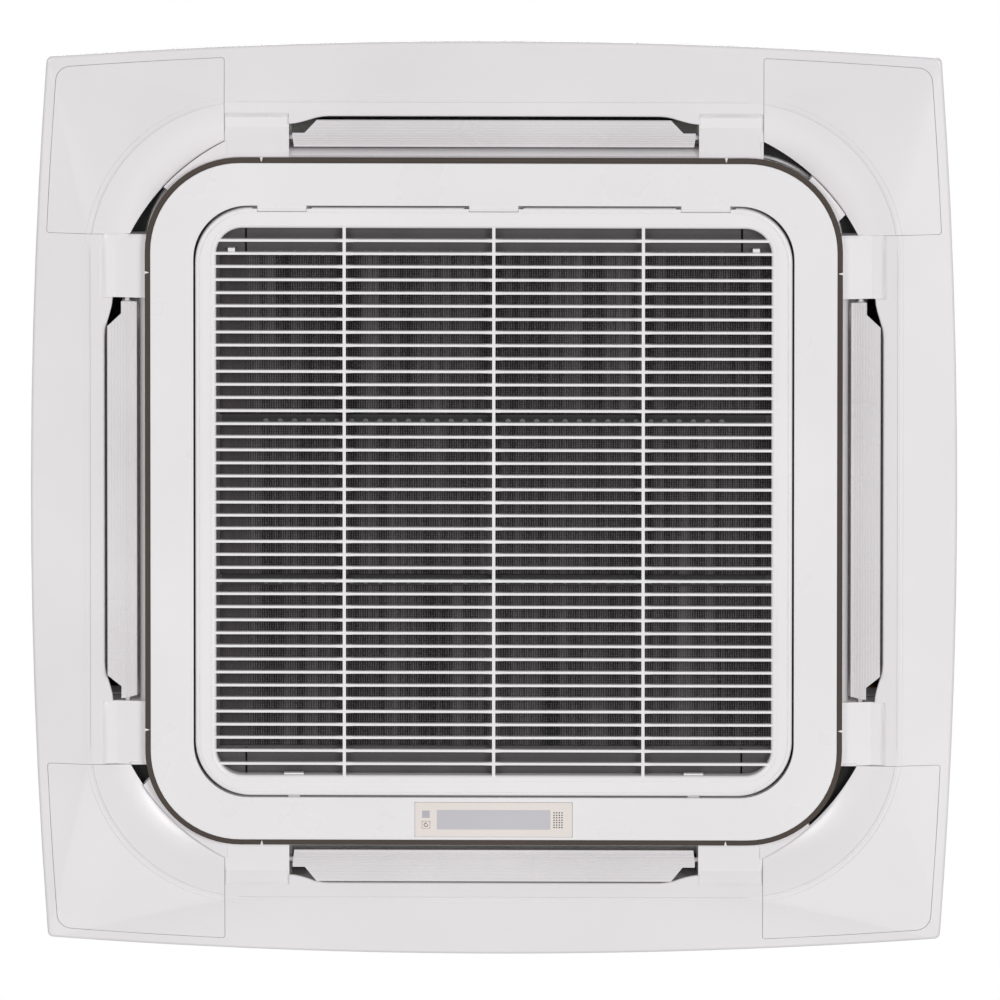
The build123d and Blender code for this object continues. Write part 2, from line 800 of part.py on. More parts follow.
def hinge_cut(x):
    """Room in the grille's edge for a hinge leaf, its pin and the slots at its ends."""
    half = hinge_leaf_w / 2 + hinge_gap
    reach = hinge_leaf_w / 2 + hinge_pin_over
    edge, back = -grille_half - 1, hinge_y + hinge_inset
    high = -hinge_depth + hinge_inset + hinge_gap
    cut = block(x - half, x + half, edge, back, -grille_depth - 1, high)
    cut = cut + rod_x(x - reach, x + reach, hinge_y, -hinge_depth, hinge_pin_r + 0.02)
    for side in (-1, 1):
        x0, x1 = sorted((x + side * (half - 1), x + side * (half + hinge_slot_w)))
        cut = cut + block(x0, x1, edge, -grille_half + hinge_slot_depth, -grille_depth - 1, -hinge_slot_top)
        cut = cut + block(x0, x1, edge, -grille_half + grille_outer_wall + 1, high - 1, -hinge_slot_top)
    return cut


def make_hinge_pins():
    reach = hinge_leaf_w / 2 + hinge_pin_over
    return group([rod_x(x - reach, x + reach, hinge_y, -hinge_depth, hinge_pin_r) for x in hinge_x])


def make_latch(side):
    x0, x1 = side * latch_x - latch_w / 2, side * latch_x + latch_w / 2
    body = block(x0, x1, opening_half - latch_tab, grille_half - 0.5, -latch_depth, -latch_depth + latch_t)
    nose = block(x0 + 4, x1 - 4, grille_half - 0.5, ring_inner_half + 1.5, -latch_depth, -latch_depth + latch_t)
    thumb = block(x0, x1, opening_half - latch_tab, opening_half - 0.3, -latch_depth - 4, -latch_depth)
    return body + nose + thumb


def make_filter_frame():
    low = -grille_back + filter_seat_gap
    plate = slab(square(filter_half, filter_corner_r), low, low + filter_plate_t)
    left, right = (filter_half - border for border in filter_side_borders)
    end = filter_half - filter_end_border
    rib = filter_rib_w / 2
    windows = ((-end, -filter_rib_y - rib), (-filter_rib_y + rib, filter_rib_y - rib), (filter_rib_y + rib, end))
    for y0, y1 in windows:
        plate = plate - block(-left, right, y0, y1, low - 1, low + filter_plate_t + 1)
    for side in (-1, 1):
        for y0, y1 in ((-filter_half + 6, -end - 2), (end + 2, filter_half - 6)):
            x = side * filter_slit_x
            plate = plate - block(x - filter_slit_w / 2, x + filter_slit_w / 2, y0, y1, low - 1,
                                  low + filter_plate_t + 1)
    high = low + filter_plate_t
    return plate + square_ring(filter_half, filter_corner_r, filter_rim_w, high - 0.5, high + filter_rim)


def make_filter_mesh():
    low = -grille_back + filter_seat_gap + filter_plate_t
    inset = filter_rim_w + 0.2
    return slab(square(filter_half - inset, filter_corner_r - inset), low, low + mesh_t)


# ---- louvres
def make_louvre():
    blade = arc_strip(louvre_points, louvre_t)
    solid = along_x(blade, -louvre_half_len, louvre_half_len)
    bead_d, bead_z = louvre_points[0]
    solid = solid + rod_x(-louvre_half_len, louvre_half_len, bead_d + 0.4, bead_z - 0.2, louvre_bead_r)
    outer = far
    step, full, narrow = louvre_step_half_len, louvre_half_len, louvre_outer_half_len
    for sign in (-1, 1):
        corner = Polygon((sign * full, louvre_step_d), (sign * step, louvre_step_d),
                         (sign * narrow, louvre_points[2][0] + 0.8), (sign * narrow, outer),
                         (sign * (full + 9), outer), (sign * (full + 9), louvre_step_d), align=None)
        solid = solid - slab(corner, -far, far)
    start, middle, end = (Vector(*p) for p in louvre_points)
    for i in range(louvre_grooves):
        t = (i + 1) / (louvre_grooves + 1)
        p = start * ((1 - t) * (1 - 2 * t)) + middle * (4 * t * (1 - t)) + end * (t * (2 * t - 1))
        normal = Vector(-0.42, -0.91)
        p = p + normal * (louvre_t / 2)
        solid = solid - rod_x(-far, far, p.X, p.Y, louvre_groove_r)
    for sign in (-1, 1):
        x0, x1 = sorted((sign * (louvre_half_len - 3), sign * louvre_half_len))
        ear = rod_x(x0, x1, pivot_d, -pivot_depth, louvre_ear_r)
        web = block(x0, x1, pivot_d - louvre_ear_r, pivot_d + louvre_ear_r, -pivot_depth - louvre_web_drop,
                    -pivot_depth)
        trim = along_x(arc_strip([(y, z - 5 - louvre_t / 2) for y, z in louvre_points], 10), x0, x1)
        solid = solid + ear + (web - trim)
        end = louvre_half_len + 0.5
        slant = Polygon((sign * end, louvre_step_d), (sign * (end - louvre_end_slant), 360), (sign * far, 360),
                        (sign * far, louvre_step_d), align=None)
        solid = solid - slab(slant, -far, far)
        pin = sorted((sign * (louvre_half_len - louvre_end_slant), sign * (louvre_half_len + louvre_pin_len)))
        solid = solid + rod_x(*pin, pivot_d, -pivot_depth, louvre_pin_r)
    return solid


def make_louvre_motor():
    wall = slot_half_len + skin_t
    z = -pivot_depth + motor_shaft_offset
    body = rod_x(wall + motor_plate_t, wall + motor_plate_t + motor_body_len, pivot_d, z, motor_body_r)
    plate = block(wall, wall + motor_plate_t, pivot_d - 17.5, pivot_d + 17.5, z - 3.5, z + 3.5)
    plate += rod_x(wall, wall + motor_plate_t, pivot_d, z, motor_body_r)
    plug = block(wall + 4, wall + 16, pivot_d - 7, pivot_d + 7, z + motor_body_r - 2, z + motor_body_r + 2.5)
    boss = rod_x(slot_half_len + 0.3, wall, pivot_d, -pivot_depth, louvre_ear_r)
    bore = rod_x(0, louvre_half_len + louvre_pin_len + 0.5, pivot_d, -pivot_depth, louvre_pin_r + running_gap)
    return body + plate + plug + boss - bore


def make_louvre_bush():
    """Bush for the louvre's free end, with a flange behind the slot's end wall."""
    wall = slot_half_len + skin_t
    tube = rod_x(-wall - 2, -slot_half_len - 0.3, pivot_d, -pivot_depth, louvre_ear_r)
    flange = rod_x(-wall - 2, -wall, pivot_d, -pivot_depth + 2, louvre_ear_r + 1)
    bore = rod_x(-far, 0, pivot_d, -pivot_depth, louvre_pin_r + running_gap)
    return tube + flange - bore


# ---- body shell
def in_sectors(shape):
    """The shape cut along lines from the middle to the corners of the body's outline."""
    h, c = 2 * body_half, 2 * (body_half - body_chamfer)
    corners = [(h, -c), (h, c), (c, h), (-c, h), (-h, c), (-h, -c), (-c, -h), (c, -h)]
    pieces = []
    for i in range(8):
        wedge = slab(Polygon((0, 0), corners[i], corners[(i + 1) % 8], align=None), -far, far)
        pieces.append(shape & wedge)
    return pieces


def make_casing_sides():
    walls = slab(body_outline(0) - body_outline(sheet_t), body_bottom, top_sheet)
    flange = slab(body_outline(0) - body_outline(flange_w), body_bottom, body_bottom + sheet_t)
    casing = walls + flange
    casing = casing - block(body_half - 5, body_half + 5, pipe_y - 26, pipe_y + 26, liquid_z - 22, gas_z + 26)
    casing = casing - rod_y(body_half - 5, body_half + 5, drain_x, drain_z, drain_r + pipe_wall_gap)
    casing = casing - rod_x(-body_half - 5, -body_half + 5, cable_y, cable_z, cable_hole_r)
    for x, y in panel_screw_spots():
        casing = casing - rod(x, y, 0, 40, panel_screw_r + screw_gap)
    return group(in_sectors(casing - bracket_holes(screw_r + screw_gap)))


def make_casing_top():
    top = slab(body_outline(0), top_sheet, top_sheet + sheet_t)
    ribs = Circle(190) - Circle(180)
    for angle in (45, 135, 225, 315):
        ribs += Rot(0, 0, angle) * Pos(285, 0) * SlotOverall(150, 12)
    return top + slab(ribs, top_sheet + sheet_t, top_plane)


def make_foam_liner():
    walls = slab(body_outline(sheet_t) - body_outline(sheet_t + liner_t), pan_top, top_sheet)
    lid = slab(body_outline(sheet_t + liner_t) - Circle(mount_circle_r + 17), top_sheet - liner_top_t, top_sheet)
    walls = walls - block(body_half - 20, body_half + 5, pipe_y - 26, pipe_y + 26, liquid_z - 22, gas_z + 26)
    walls = walls - rod_y(body_half - 20, body_half + 5, drain_x, drain_z, drain_r + 2)
    walls = walls - rod_x(-body_half - 5, -body_half + 20, cable_y, cable_z, cable_hole_r)
    return group(in_sectors(walls - bracket_holes(bracket_hole_foam)) + [lid])


def make_drain_pan():
    pan = slab(body_outline(sheet_t), pan_bottom, pan_top)
    pan = pan - slab(square(well_half, ring_inner_r), pan_step, far) - slab(
        square(pan_well_half, ring_inner_r - 11), -far, far)
    near, out = duct_inner + 1.5, slot_outer - 1
    section = Polygon((near, pan_bottom - 1), (out, pan_bottom - 1), (out, pan_top + 1),
                      (near + outlet_lean, pan_top + 1), align=None)
    outlet = along_x(section, -outlet_half_len, outlet_half_len)
    for shape in around(outlet):
        pan = pan - shape
    pan = pan - square_ring(coil_outer + 4, coil_inner_r + coil_t + 4, coil_t + 7, trough_floor, far)
    sump = Pos(pump_at, pump_at) * Circle(pump_r + 12)
    sump += Pos(pump_at + float_step, pump_at - float_step) * Circle(float_r + 4)
    pan = pan - slab(sump, trough_floor - 10, far)
    pan = pan - rod(plug_at, plug_at, -far, far, plug_r + 0.3)
    for x, y in panel_screw_spots():
        pan = pan - rod(x, y, 0, 40, panel_screw_r + screw_gap)
    return pan


def make_drain_plug():
    cap = rod(plug_at, plug_at, pan_bottom - 3, pan_bottom - 0.3, plug_r + 3.3)
    return cap + rod(plug_at, plug_at, pan_bottom - 0.3, trough_floor - 12, plug_r)


def make_bell_mouth():
    plate = slab(square(well_half - 0.5, ring_inner_r) - Circle(flare_r - 0.5), pan_step, pan_step + bell_t)
    rise = throat_top - pan_step
    run = flare_r - throat_r
    low = Bezier((flare_r, pan_step), (throat_r + run * 0.15, pan_step), (throat_r, pan_step + rise * 0.4),
                 (throat_r, throat_top))
    high = Bezier((flare_r, pan_step + bell_t), (throat_r + run * 0.2 + bell_t, pan_step + bell_t),
                  (throat_r + bell_t, pan_step + bell_t + rise * 0.4), (throat_r + bell_t, throat_top))
    edges = [low, Line(low @ 1, high @ 1), high, Line(high @ 0, low @ 0)]
    flare = revolve(Plane.XZ * make_face(edges), axis=Axis.Z)
    return plate + flare


def make_panel_seals():
    outlet = block(-slot_half_len - seal_w, slot_half_len + seal_w, band_half - seal_w, slot_outer + 3.5,
                   duct_top, pan_bottom)
    outlet = outlet - block(-slot_half_len, slot_half_len, duct_inner, slot_outer, -far, far)
    intake = square_ring(ring_inner_half + seal_w, ring_inner_r + seal_w, seal_w, duct_top, pan_bottom)
    return group(around(outlet) + corner_pads() + [intake])


def corner_pads():
    """Foam over the openings in the floors behind the corner covers."""
    near, out = block_half_far - skin_t, floor_hole_far + pad_over
    pad = block(near, out, near, out, pad_lift, pad_lift + pad_t)
    pad = pad - slab(square(band_half + pad_over, band_r + pad_over), -far, far)
    pads = []
    for angle in CORNERS.values():
        piece = turned(pad, angle)
        for x, y in panel_screw_spots():
            piece = piece - rod(x, y, -far, far, panel_screw_r + pad_over)
        pads.append(piece)
    return pads


# ---- fan
def make_fan_impeller():
    back = rod(0, 0, fan_top, fan_top + fan_sheet, fan_r) - rod(0, 0, 0, far, 30)
    dish = rod(0, 0, fan_top - 22, fan_top - 22 + fan_sheet, 42)
    skirt = rod(0, 0, fan_top - 22, fan_top + fan_sheet, 42) - rod(0, 0, 0, far, 42 - fan_sheet)
    hub = rod(0, 0, fan_top - 26, fan_top - 2, hub_r)
    shroud_points = [(fan_eye_r, fan_bottom), (fan_eye_r + fan_sheet, fan_bottom), (fan_r, fan_bottom + 18),
                     (fan_r, fan_bottom + 18 + fan_sheet), (fan_eye_r, fan_bottom + fan_sheet + 1)]
    shroud = revolve(Plane.XZ * Polygon(*shroud_points, align=None), axis=Axis.Z)
    blade_points = ((148.0, 18.0), (196.0, 6.0), (226.0, -40.0))
    blade = slab(arc_strip(blade_points, fan_sheet), fan_bottom + 2, fan_top + 1)
    envelope = revolve(Plane.XZ * Polygon((100, fan_bottom + 2.5), (fan_eye_r + 1, fan_bottom + 2.5),
                                          (fan_r - 2, fan_bottom + 19), (fan_r - 2, fan_top + 1),
                                          (100, fan_top + 1), align=None), axis=Axis.Z)
    blade = blade & envelope
    wheel = back - rod(0, 0, 0, far, 41) + skirt + dish + hub + shroud
    for i in range(fan_blades):
        wheel = wheel + turned(blade, i * 360 / fan_blades)
    return wheel - rod(0, 0, 0, far, shaft_r)


def make_motor_shaft():
    return rod(0, 0, shaft_bottom, shaft_top, shaft_r)


def make_fan_nut():
    low = shaft_bottom + 1.5
    washer_top = fan_top - 26
    nut = slab(RegularPolygon(9.5, 6), low, washer_top - 2)
    washer = rod(0, 0, washer_top - 2, washer_top, 13)
    return nut + washer - rod(0, 0, 0, far, shaft_r)


def make_fan_motor():
    body = rod(0, 0, motor_bottom, motor_top, motor_r)
    rims = body.edges().filter_by(GeomType.CIRCLE)
    body = fillet(rims, 6)
    collar = rod(0, 0, motor_bottom - 6, motor_bottom, 16)
    motor = body + collar
    for i in range(mounts):
        lug = block(motor_r - 8, mount_circle_r, -9, 9, motor_top - 6, motor_top) + rod(
            mount_circle_r, 0, motor_top - 6, motor_top, 9)
        motor = motor + turned(lug, i * 360 / mounts)
    return motor - rod(0, 0, 0, shaft_top + 1, shaft_r + running_gap)


def make_motor_mounts():
    post = rod(mount_circle_r, 0, motor_top, top_sheet, mount_r)
    waist = rod(mount_circle_r, 0, motor_top + 8, top_sheet - 8, mount_r + 3) - rod(
        mount_circle_r, 0, motor_top + 8, top_sheet - 8, mount_r - 3)
    return group([turned(post - waist, i * 360 / mounts) for i in range(mounts)])


# ---- coil
def make_coil_fins():
    ring = square_ring(coil_outer, coil_inner_r + coil_t, coil_t, trough_floor, coil_top)
    core_t = coil_t - 2 * coil_skin
    ring = ring - square_ring(coil_outer - coil_skin, coil_inner_r + coil_t - coil_skin, core_t,
                              trough_floor + coil_skin, coil_top - coil_skin)
    return ring - block(coil_end, far, coil_end, far, -far, far)


def make_coil_end_plates():
    low, high = trough_floor, coil_top
    first = block(coil_end, coil_end + coil_plate_t, coil_inner, coil_outer, low, high)
    second = block(coil_inner, coil_outer, coil_end, coil_end + coil_plate_t, low, high)
    return group([first, second])


def return_bend(z):
    """A hairpin on the end plate that faces +X."""
    path = ThreePointArc((0, 0, -tube_pitch / 2), (tube_pitch / 2, 0, 0), (0, 0, tube_pitch / 2))
    profile = Plane(origin=path @ 0, z_dir=path % 0) * Circle(tube_r)
    y = (coil_inner + coil_outer) / 2
    return Pos(coil_end + coil_plate_t, y, z) * sweep(profile, path=path)


def make_coil_bends():
    bends = []
    low = trough_floor + tube_pitch
    for row in range(bend_rows):
        bend = return_bend(low + row * 2 * tube_pitch)
        bends.append(bend)
        swap = mirror(bend, about=Plane(origin=(0, 0, 0), z_dir=(1, -1, 0)))
        bends.append(swap)
    return group(bends)


def make_closing_plate():
    a, b = coil_end + coil_plate_t, coil_inner
    plan = Polygon((a, b), (b, a), (b + closing_t, a), (a, b + closing_t), align=None)
    return slab(plan, pan_top, coil_top)


# ---- pipes, pump and drain
def pipe_along(points, bend, r):
    path = FilletPolyline(*points, radius=bend)
    profile = Plane(origin=path @ 0, z_dir=path % 0) * Circle(r)
    return sweep(profile, path=path)


def union_x(x0, y, z, pipe_r, thread_r):
    """Flare union outside the casing: hexagon, then the threaded end."""
    hexagon = Pos(x0, y, z) * Rot(0, 90, 0) * extrude(RegularPolygon(thread_r + 3, 6), amount=nut_len)
    return hexagon + rod_x(x0 + nut_len, x0 + nut_len + thread_len, y, z, thread_r)


def make_gas_pipe():
    head = coil_end + coil_plate_t + 30
    row = (coil_inner + coil_outer) / 2
    header = rod(head, row, trough_floor + 30, gas_z, gas_r)
    x_end = body_half + union_gap
    points = [(head, row, gas_z), (head + 66, row, gas_z), (head + 66 + row - pipe_y, pipe_y, gas_z),
              (x_end, pipe_y, gas_z)]
    pipe = pipe_along(points, 24, gas_r)
    return header + Pos(head, row, gas_z) * Sphere(gas_r) + pipe + union_x(x_end, pipe_y, gas_z, gas_r, gas_thread_r)


def make_liquid_pipe():
    x = (coil_inner + coil_outer) / 2
    x_end = body_half + union_gap
    y = pipe_y + 8
    header = rod(x, y, trough_floor + 25, liquid_z, liquid_r + 1)
    points = [(x, y, liquid_z), (x + 30, y, liquid_z), (x + 50, pipe_y, liquid_z), (x_end, pipe_y, liquid_z)]
    pipe = pipe_along(points, 18, liquid_r)
    return header + Pos(x, y, liquid_z) * Sphere(liquid_r + 1) + pipe + union_x(
        x_end, pipe_y, liquid_z, liquid_r, liquid_thread_r)


def make_pipe_plate():
    plate = block(body_half, body_half + 1.5, pipe_y - 34, pipe_y + 34, liquid_z - 30, gas_z + 34)
    plate = plate - rod_x(body_half - 1, body_half + 9, pipe_y, gas_z, gas_r + pipe_wall_gap)
    plate = plate - rod_x(body_half - 1, body_half + 9, pipe_y, liquid_z, liquid_r + pipe_wall_gap)
    edges = plate.edges().filter_by(Axis.X)
    corners = [e for e in edges if e.center().Z > gas_z + 30 or e.center().Z < liquid_z - 28]
    return fillet(corners, 6)


def make_drain_pump():
    x, y = pump_at, pump_at
    body = rod(x, y, pump_bottom, pump_top, pump_r)
    inlet = rod(x, y, trough_floor - 8, pump_bottom, 8)
    arm_z = pump_top - 14
    arm = Pos(x, y, arm_z) * Rot(0, 0, 45) * block(-pump_r - 27, 0, -16, 16, 0, 4)
    reach_limit = coil_inner + coil_end + coil_plate_t + closing_t
    plan_limit = slab(Polygon((reach_limit, 0), (far, 0), (far, far), (0, far), (0, reach_limit),
                              align=None), -far, far)
    arm = arm & plan_limit
    fx, fy = x + float_step, y - float_step
    reach = Pos(x, y, arm_z) * Rot(0, 0, -45) * block(0, float_step * sqrt(2) + 5, -6, 6, 0, 4)
    stem = rod(fx, fy, trough_floor - 8, arm_z + 4, stem_r)
    foot = rod(fx, fy, trough_floor - 9.7, trough_floor - 8, stem_r + 3)
    outlet = rod(x, y, pump_top, pump_top + 12, drain_hose_r - 3)
    pump = body + inlet + arm + reach + stem + foot + outlet
    chamber = rod(x, y, pump_bottom + 3, pump_bottom + 17, pump_chamber_r)
    bore = rod(x, y, 0, pump_bottom + 4, 5) + rod(x, y, pump_bottom, pump_bottom + 45, 2.0 + running_gap)
    return pump - chamber - bore


def make_pump_impeller():
    x, y = pump_at, pump_at
    disc = rod(x, y, pump_bottom + 11, pump_bottom + 13, pump_impeller_r)
    wheel = disc + rod(x, y, pump_bottom + 5, pump_bottom + 44, 2.0)
    vane = block(3, pump_impeller_r - 1, -0.8, 0.8, 0, 6.5)
    for i in range(6):
        wheel = wheel + Pos(x, y, pump_bottom + 5) * Rot(0, 0, 60 * i) * vane
    return wheel + rod(x, y, pump_bottom + 5, pump_bottom + 11, 4)


def make_float_switch():
    x, y = pump_at + float_step, pump_at - float_step
    low = trough_floor - 8 + 0.3
    ring = rod(x, y, low, low + float_h, float_r)
    ring = fillet(ring.edges().filter_by(GeomType.CIRCLE), 2)
    return ring - rod(x, y, 0, far, stem_r + 0.3)


def make_drain_outlet():
    x, y = pump_at, pump_at
    wall_y = body_half
    low = pump_top + 1
    points = [(x, y, low), (x, y, drain_z), (drain_x, 350, drain_z), (drain_x, wall_y + 2, drain_z)]
    hose = pipe_along(points, 22, drain_hose_r) - rod(x, y, 0, low + 11.2, drain_hose_r - 2.8)
    spigot = rod_y(wall_y + 2, wall_y + drain_spigot_len, drain_x, drain_z, drain_r)
    flange = rod_y(wall_y, wall_y + 3, drain_x, drain_z, drain_r + 8)
    return hose + spigot + flange - rod_y(wall_y - 20, far, drain_x, drain_z, drain_hose_r - 2)


# ---- electrical box
def box_block(inset, low, high):
    return block(-box_len / 2 + inset, box_len / 2 - inset, box_y - box_w / 2 + inset,
                 box_y + box_w / 2 - inset, low, high)


def make_control_box():
    top = pan_step
    shell = box_block(0, top - box_h, top) - box_block(box_t, top - box_h - 1, top - box_t)
    return shell - rod_x(-box_len / 2 - 5, -box_len / 2 + 5, box_y, top - 20, 8)


def make_control_box_cover():
    top = pan_step - box_h
    lid = box_block(-1.5, top - box_t, top)
    lip = box_block(-1.5, top, top + 8) - box_block(-0.3, top - 1, top + 9)
    return lid + lip


def make_main_board():
    top = pan_step - box_t
    posts = [(-box_len / 2 + 12, -30), (-box_len / 2 + 12, 30), (box_len / 2 - 102, -30), (box_len / 2 - 102, 30)]
    board = block(-box_len / 2 + 6, box_len / 2 - 96, box_y - 40, box_y + 40, top - 9.6, top - 8)
    for x, y in posts:
        board = board + rod(x, box_y + y, top - 8, top, 3)
    low = top - 9.6
    board = board + rod(-90, box_y - 20, low - 18, low, 9) + rod(-60, box_y - 20, low - 14, low, 6)
    board = board + block(-30, 0, box_y - 30, box_y + 4, low - 15, low)
    return board + block(10, 60, box_y + 12, box_y + 30, low - 9, low)


def make_terminal_block():
    top = pan_step - box_t
    base = block(box_len / 2 - 84, box_len / 2 - 10, box_y - 16, box_y + 16, top - 20, top)
    for i in range(5):
        x = box_len / 2 - 76 + i * 14.5
        base = base - block(x - 5.5, x + 5.5, box_y - 20, box_y - 4, top - 30, top - 8)
        base = base - block(x - 5.5, x + 5.5, box_y + 4, box_y + 20, top - 30, top - 8)
    return base


def make_fan_capacitor():
    top = pan_step - box_t
    body = block(box_len / 2 - 84, box_len / 2 - 34, box_y + 20, box_y + 44, top - 30, top)
    return fillet(body.edges().filter_by(Axis.Z), 3)


# ---- hanging brackets, screws and cable entry
def in_corners(shape):
    flip_x = mirror(shape, about=Plane.YZ)
    return [shape, flip_x, mirror(shape, about=Plane.XZ), mirror(flip_x, about=Plane.XZ)]


def chamfer_frame():
    """Plane on the chamfered corner: x runs along it, z points out of the casing."""
    middle = body_half - body_chamfer / 2
    return Plane(origin=(middle, middle, 0), x_dir=(1, -1, 0), z_dir=(1, 1, 0))


def bracket_screw_spots():
    along = (hanger_x - hanger_y) / sqrt(2)
    return [(along + dx, hanger_z + 26) for dx in (-26, 26)]


def bracket_holes(r):
    frame = chamfer_frame()
    holes = []
    for u, z in bracket_screw_spots():
        spot = frame * Pos(u, -z, 0) if frame.y_dir.Z < 0 else frame * Pos(u, z, 0)
        holes.append(spot * Cylinder(r, 60))
    shapes = []
    for hole in holes:
        shapes += in_corners(hole)
    return shapes


def make_hanger_bracket():
    middle = body_half - body_chamfer / 2
    along = (hanger_x - hanger_y) / sqrt(2)
    out = (hanger_x + hanger_y) / sqrt(2) - middle * sqrt(2)
    place = Pos(middle, middle, 0) * Rot(0, 0, 45)
    ear = block(0, out + 22, -along - 40, -along + 40, hanger_z, hanger_z + hanger_t)
    soft = [e for e in ear.edges().filter_by(Axis.Z) if e.center().X > 5]
    ear = fillet(soft, 12)
    plate = block(0, hanger_t, -along - 40, -along + 40, hanger_z, hanger_z + 40)
    gusset = Polygon((0, 0), (out - 4, 0), (0, 32), align=None)
    rib = extrude(Plane.XZ * gusset, amount=hanger_t)
    bracket = ear + plate
    for y in (-along - 40 + hanger_t, -along + 40):
        bracket = bracket + Pos(0, y, hanger_z + hanger_t) * rib
    bracket = place * bracket
    slot = Pos(hanger_x, hanger_y, hanger_z - 5) * extrude(SlotOverall(hanger_slot_len, hanger_slot_w), amount=20)
    return bracket - slot


def make_hanger_brackets():
    bracket = make_hanger_bracket()
    shapes = []
    holes = bracket_holes(screw_r + screw_gap)
    for shape in in_corners(bracket):
        shapes.append(shape - holes)
    return group(shapes)


def make_bracket_screws():
    frame = chamfer_frame()
    shapes = []
    for u, z in bracket_screw_spots():
        spot = frame * Pos(u, -z, 0) if frame.y_dir.Z < 0 else frame * Pos(u, z, 0)
        shank = spot * Pos(0, 0, hanger_t / 2 - 3.5) * Cylinder(screw_r, hanger_t + 7)
        head = spot * Pos(0, 0, hanger_t + 1.5) * Cylinder(5, 3)
        shapes += in_corners(shank + head)
    return group(shapes)


def make_panel_screws():
    shapes = []
    for x, y in panel_screw_spots():
        head = rod(x, y, -pocket_floor - panel_screw_head, -pocket_floor, 5)
        shapes.append(head + rod(x, y, -pocket_floor, 38, panel_screw_r))
    return group(shapes)


def make_cable_grommet():
    outer = -body_half
    ring = rod_x(outer - 3, outer, cable_y, cable_z, cable_hole_r + 3)
    ring = ring + rod_x(outer, outer + sheet_t, cable_y, cable_z, cable_hole_r - 0.1)
    ring = ring + rod_x(outer + sheet_t, outer + 8, cable_y, cable_z, cable_hole_r - 1)
    return ring - rod_x(outer - 9, outer + 19, cable_y, cable_z, cable_bore_r)


def main():
    os.makedirs("parts", exist_ok=True)
    skin, rounded, cavity = make_border()
    save("panel_frame", make_panel_frame(skin, rounded))
    save("ceiling_gasket", make_ceiling_gasket())
    cover = make_corner_cover(skin, cavity)
    for name, angle in CORNERS.items():
        save(f"corner_cover_{name}", turned(cover, angle))
    save("centre_ring", make_centre_ring())
    save("trim_band", make_trim_band())
    save("display_bezel", make_display_bezel())
    save("display_window", make_display_window())
    save("sensor_window", make_sensor_window())
    save("power_button", make_power_button())
    save("display_board", make_display_board())
    save("intake_grille", make_intake_grille())
    save("hinge_pins", make_hinge_pins())
    save("latch_left", make_latch(-1))
    save("latch_right", make_latch(1))
    save("filter_frame", make_filter_frame())
    save("filter_mesh", make_filter_mesh())
    louvre, motor = make_louvre(), make_louvre_motor()
    for name, angle in SIDES.items():
        save(f"louvre_{name}", turned(louvre, angle))
        save(f"louvre_motor_{name}", turned(motor, angle))
    save("louvre_bushes", group(around(make_louvre_bush())))
    save("panel_seals", make_panel_seals())
    save("panel_screws", make_panel_screws())
    save("casing_sides", make_casing_sides())
    save("casing_top", make_casing_top())
    save("foam_liner", make_foam_liner())
    save("drain_pan", make_drain_pan())
    save("drain_plug", make_drain_plug())
    save("bell_mouth", make_bell_mouth())
    save("fan_impeller", make_fan_impeller())
    save("motor_shaft", make_motor_shaft())
    save("fan_nut", make_fan_nut())
    save("fan_motor", make_fan_motor())
    save("motor_mounts", make_motor_mounts())
    save("coil_fins", make_coil_fins())
    save("coil_end_plates", make_coil_end_plates())
    save("coil_bends", make_coil_bends())
    save("closing_plate", make_closing_plate())
    save("gas_pipe", make_gas_pipe())
    save("liquid_pipe", make_liquid_pipe())
    save("pipe_plate", make_pipe_plate())
    save("drain_pump", make_drain_pump())
    save("pump_impeller", make_pump_impeller())
    save("float_switch", make_float_switch())
    save("drain_outlet", make_drain_outlet())
    save("control_box", make_control_box())
    save("control_box_cover", make_control_box_cover())
    save("main_board", make_main_board())
    save("terminal_block", make_terminal_block())
    save("fan_capacitor", make_fan_capacitor())
    save("hanger_brackets", make_hanger_brackets())
    save("bracket_screws", make_bracket_screws())
    save("cable_grommet", make_cable_grommet())


if __name__ == "__main__":
    main()
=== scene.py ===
import bpy, json, math
from mathutils import Matrix, Vector

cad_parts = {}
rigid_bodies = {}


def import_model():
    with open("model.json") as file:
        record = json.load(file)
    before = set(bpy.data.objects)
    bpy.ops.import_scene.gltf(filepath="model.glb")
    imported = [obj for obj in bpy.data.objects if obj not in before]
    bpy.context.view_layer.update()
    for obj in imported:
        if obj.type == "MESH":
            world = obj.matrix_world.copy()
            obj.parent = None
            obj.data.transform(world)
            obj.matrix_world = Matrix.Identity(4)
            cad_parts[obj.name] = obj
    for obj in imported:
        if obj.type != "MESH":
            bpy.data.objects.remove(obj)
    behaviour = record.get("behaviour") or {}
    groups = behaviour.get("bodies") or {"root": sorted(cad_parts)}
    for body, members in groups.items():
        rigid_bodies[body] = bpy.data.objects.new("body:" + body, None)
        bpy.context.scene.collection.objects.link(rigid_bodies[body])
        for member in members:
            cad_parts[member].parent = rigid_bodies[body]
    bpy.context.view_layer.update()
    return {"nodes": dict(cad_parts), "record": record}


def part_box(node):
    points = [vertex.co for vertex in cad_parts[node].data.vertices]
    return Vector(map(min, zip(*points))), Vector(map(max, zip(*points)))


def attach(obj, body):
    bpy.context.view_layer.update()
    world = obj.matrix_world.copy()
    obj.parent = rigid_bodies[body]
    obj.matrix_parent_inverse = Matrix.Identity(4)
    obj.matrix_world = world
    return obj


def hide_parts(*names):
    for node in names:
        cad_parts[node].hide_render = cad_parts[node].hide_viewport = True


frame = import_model()
nodes = frame["nodes"]
print("frame loaded", len(nodes), "nodes")


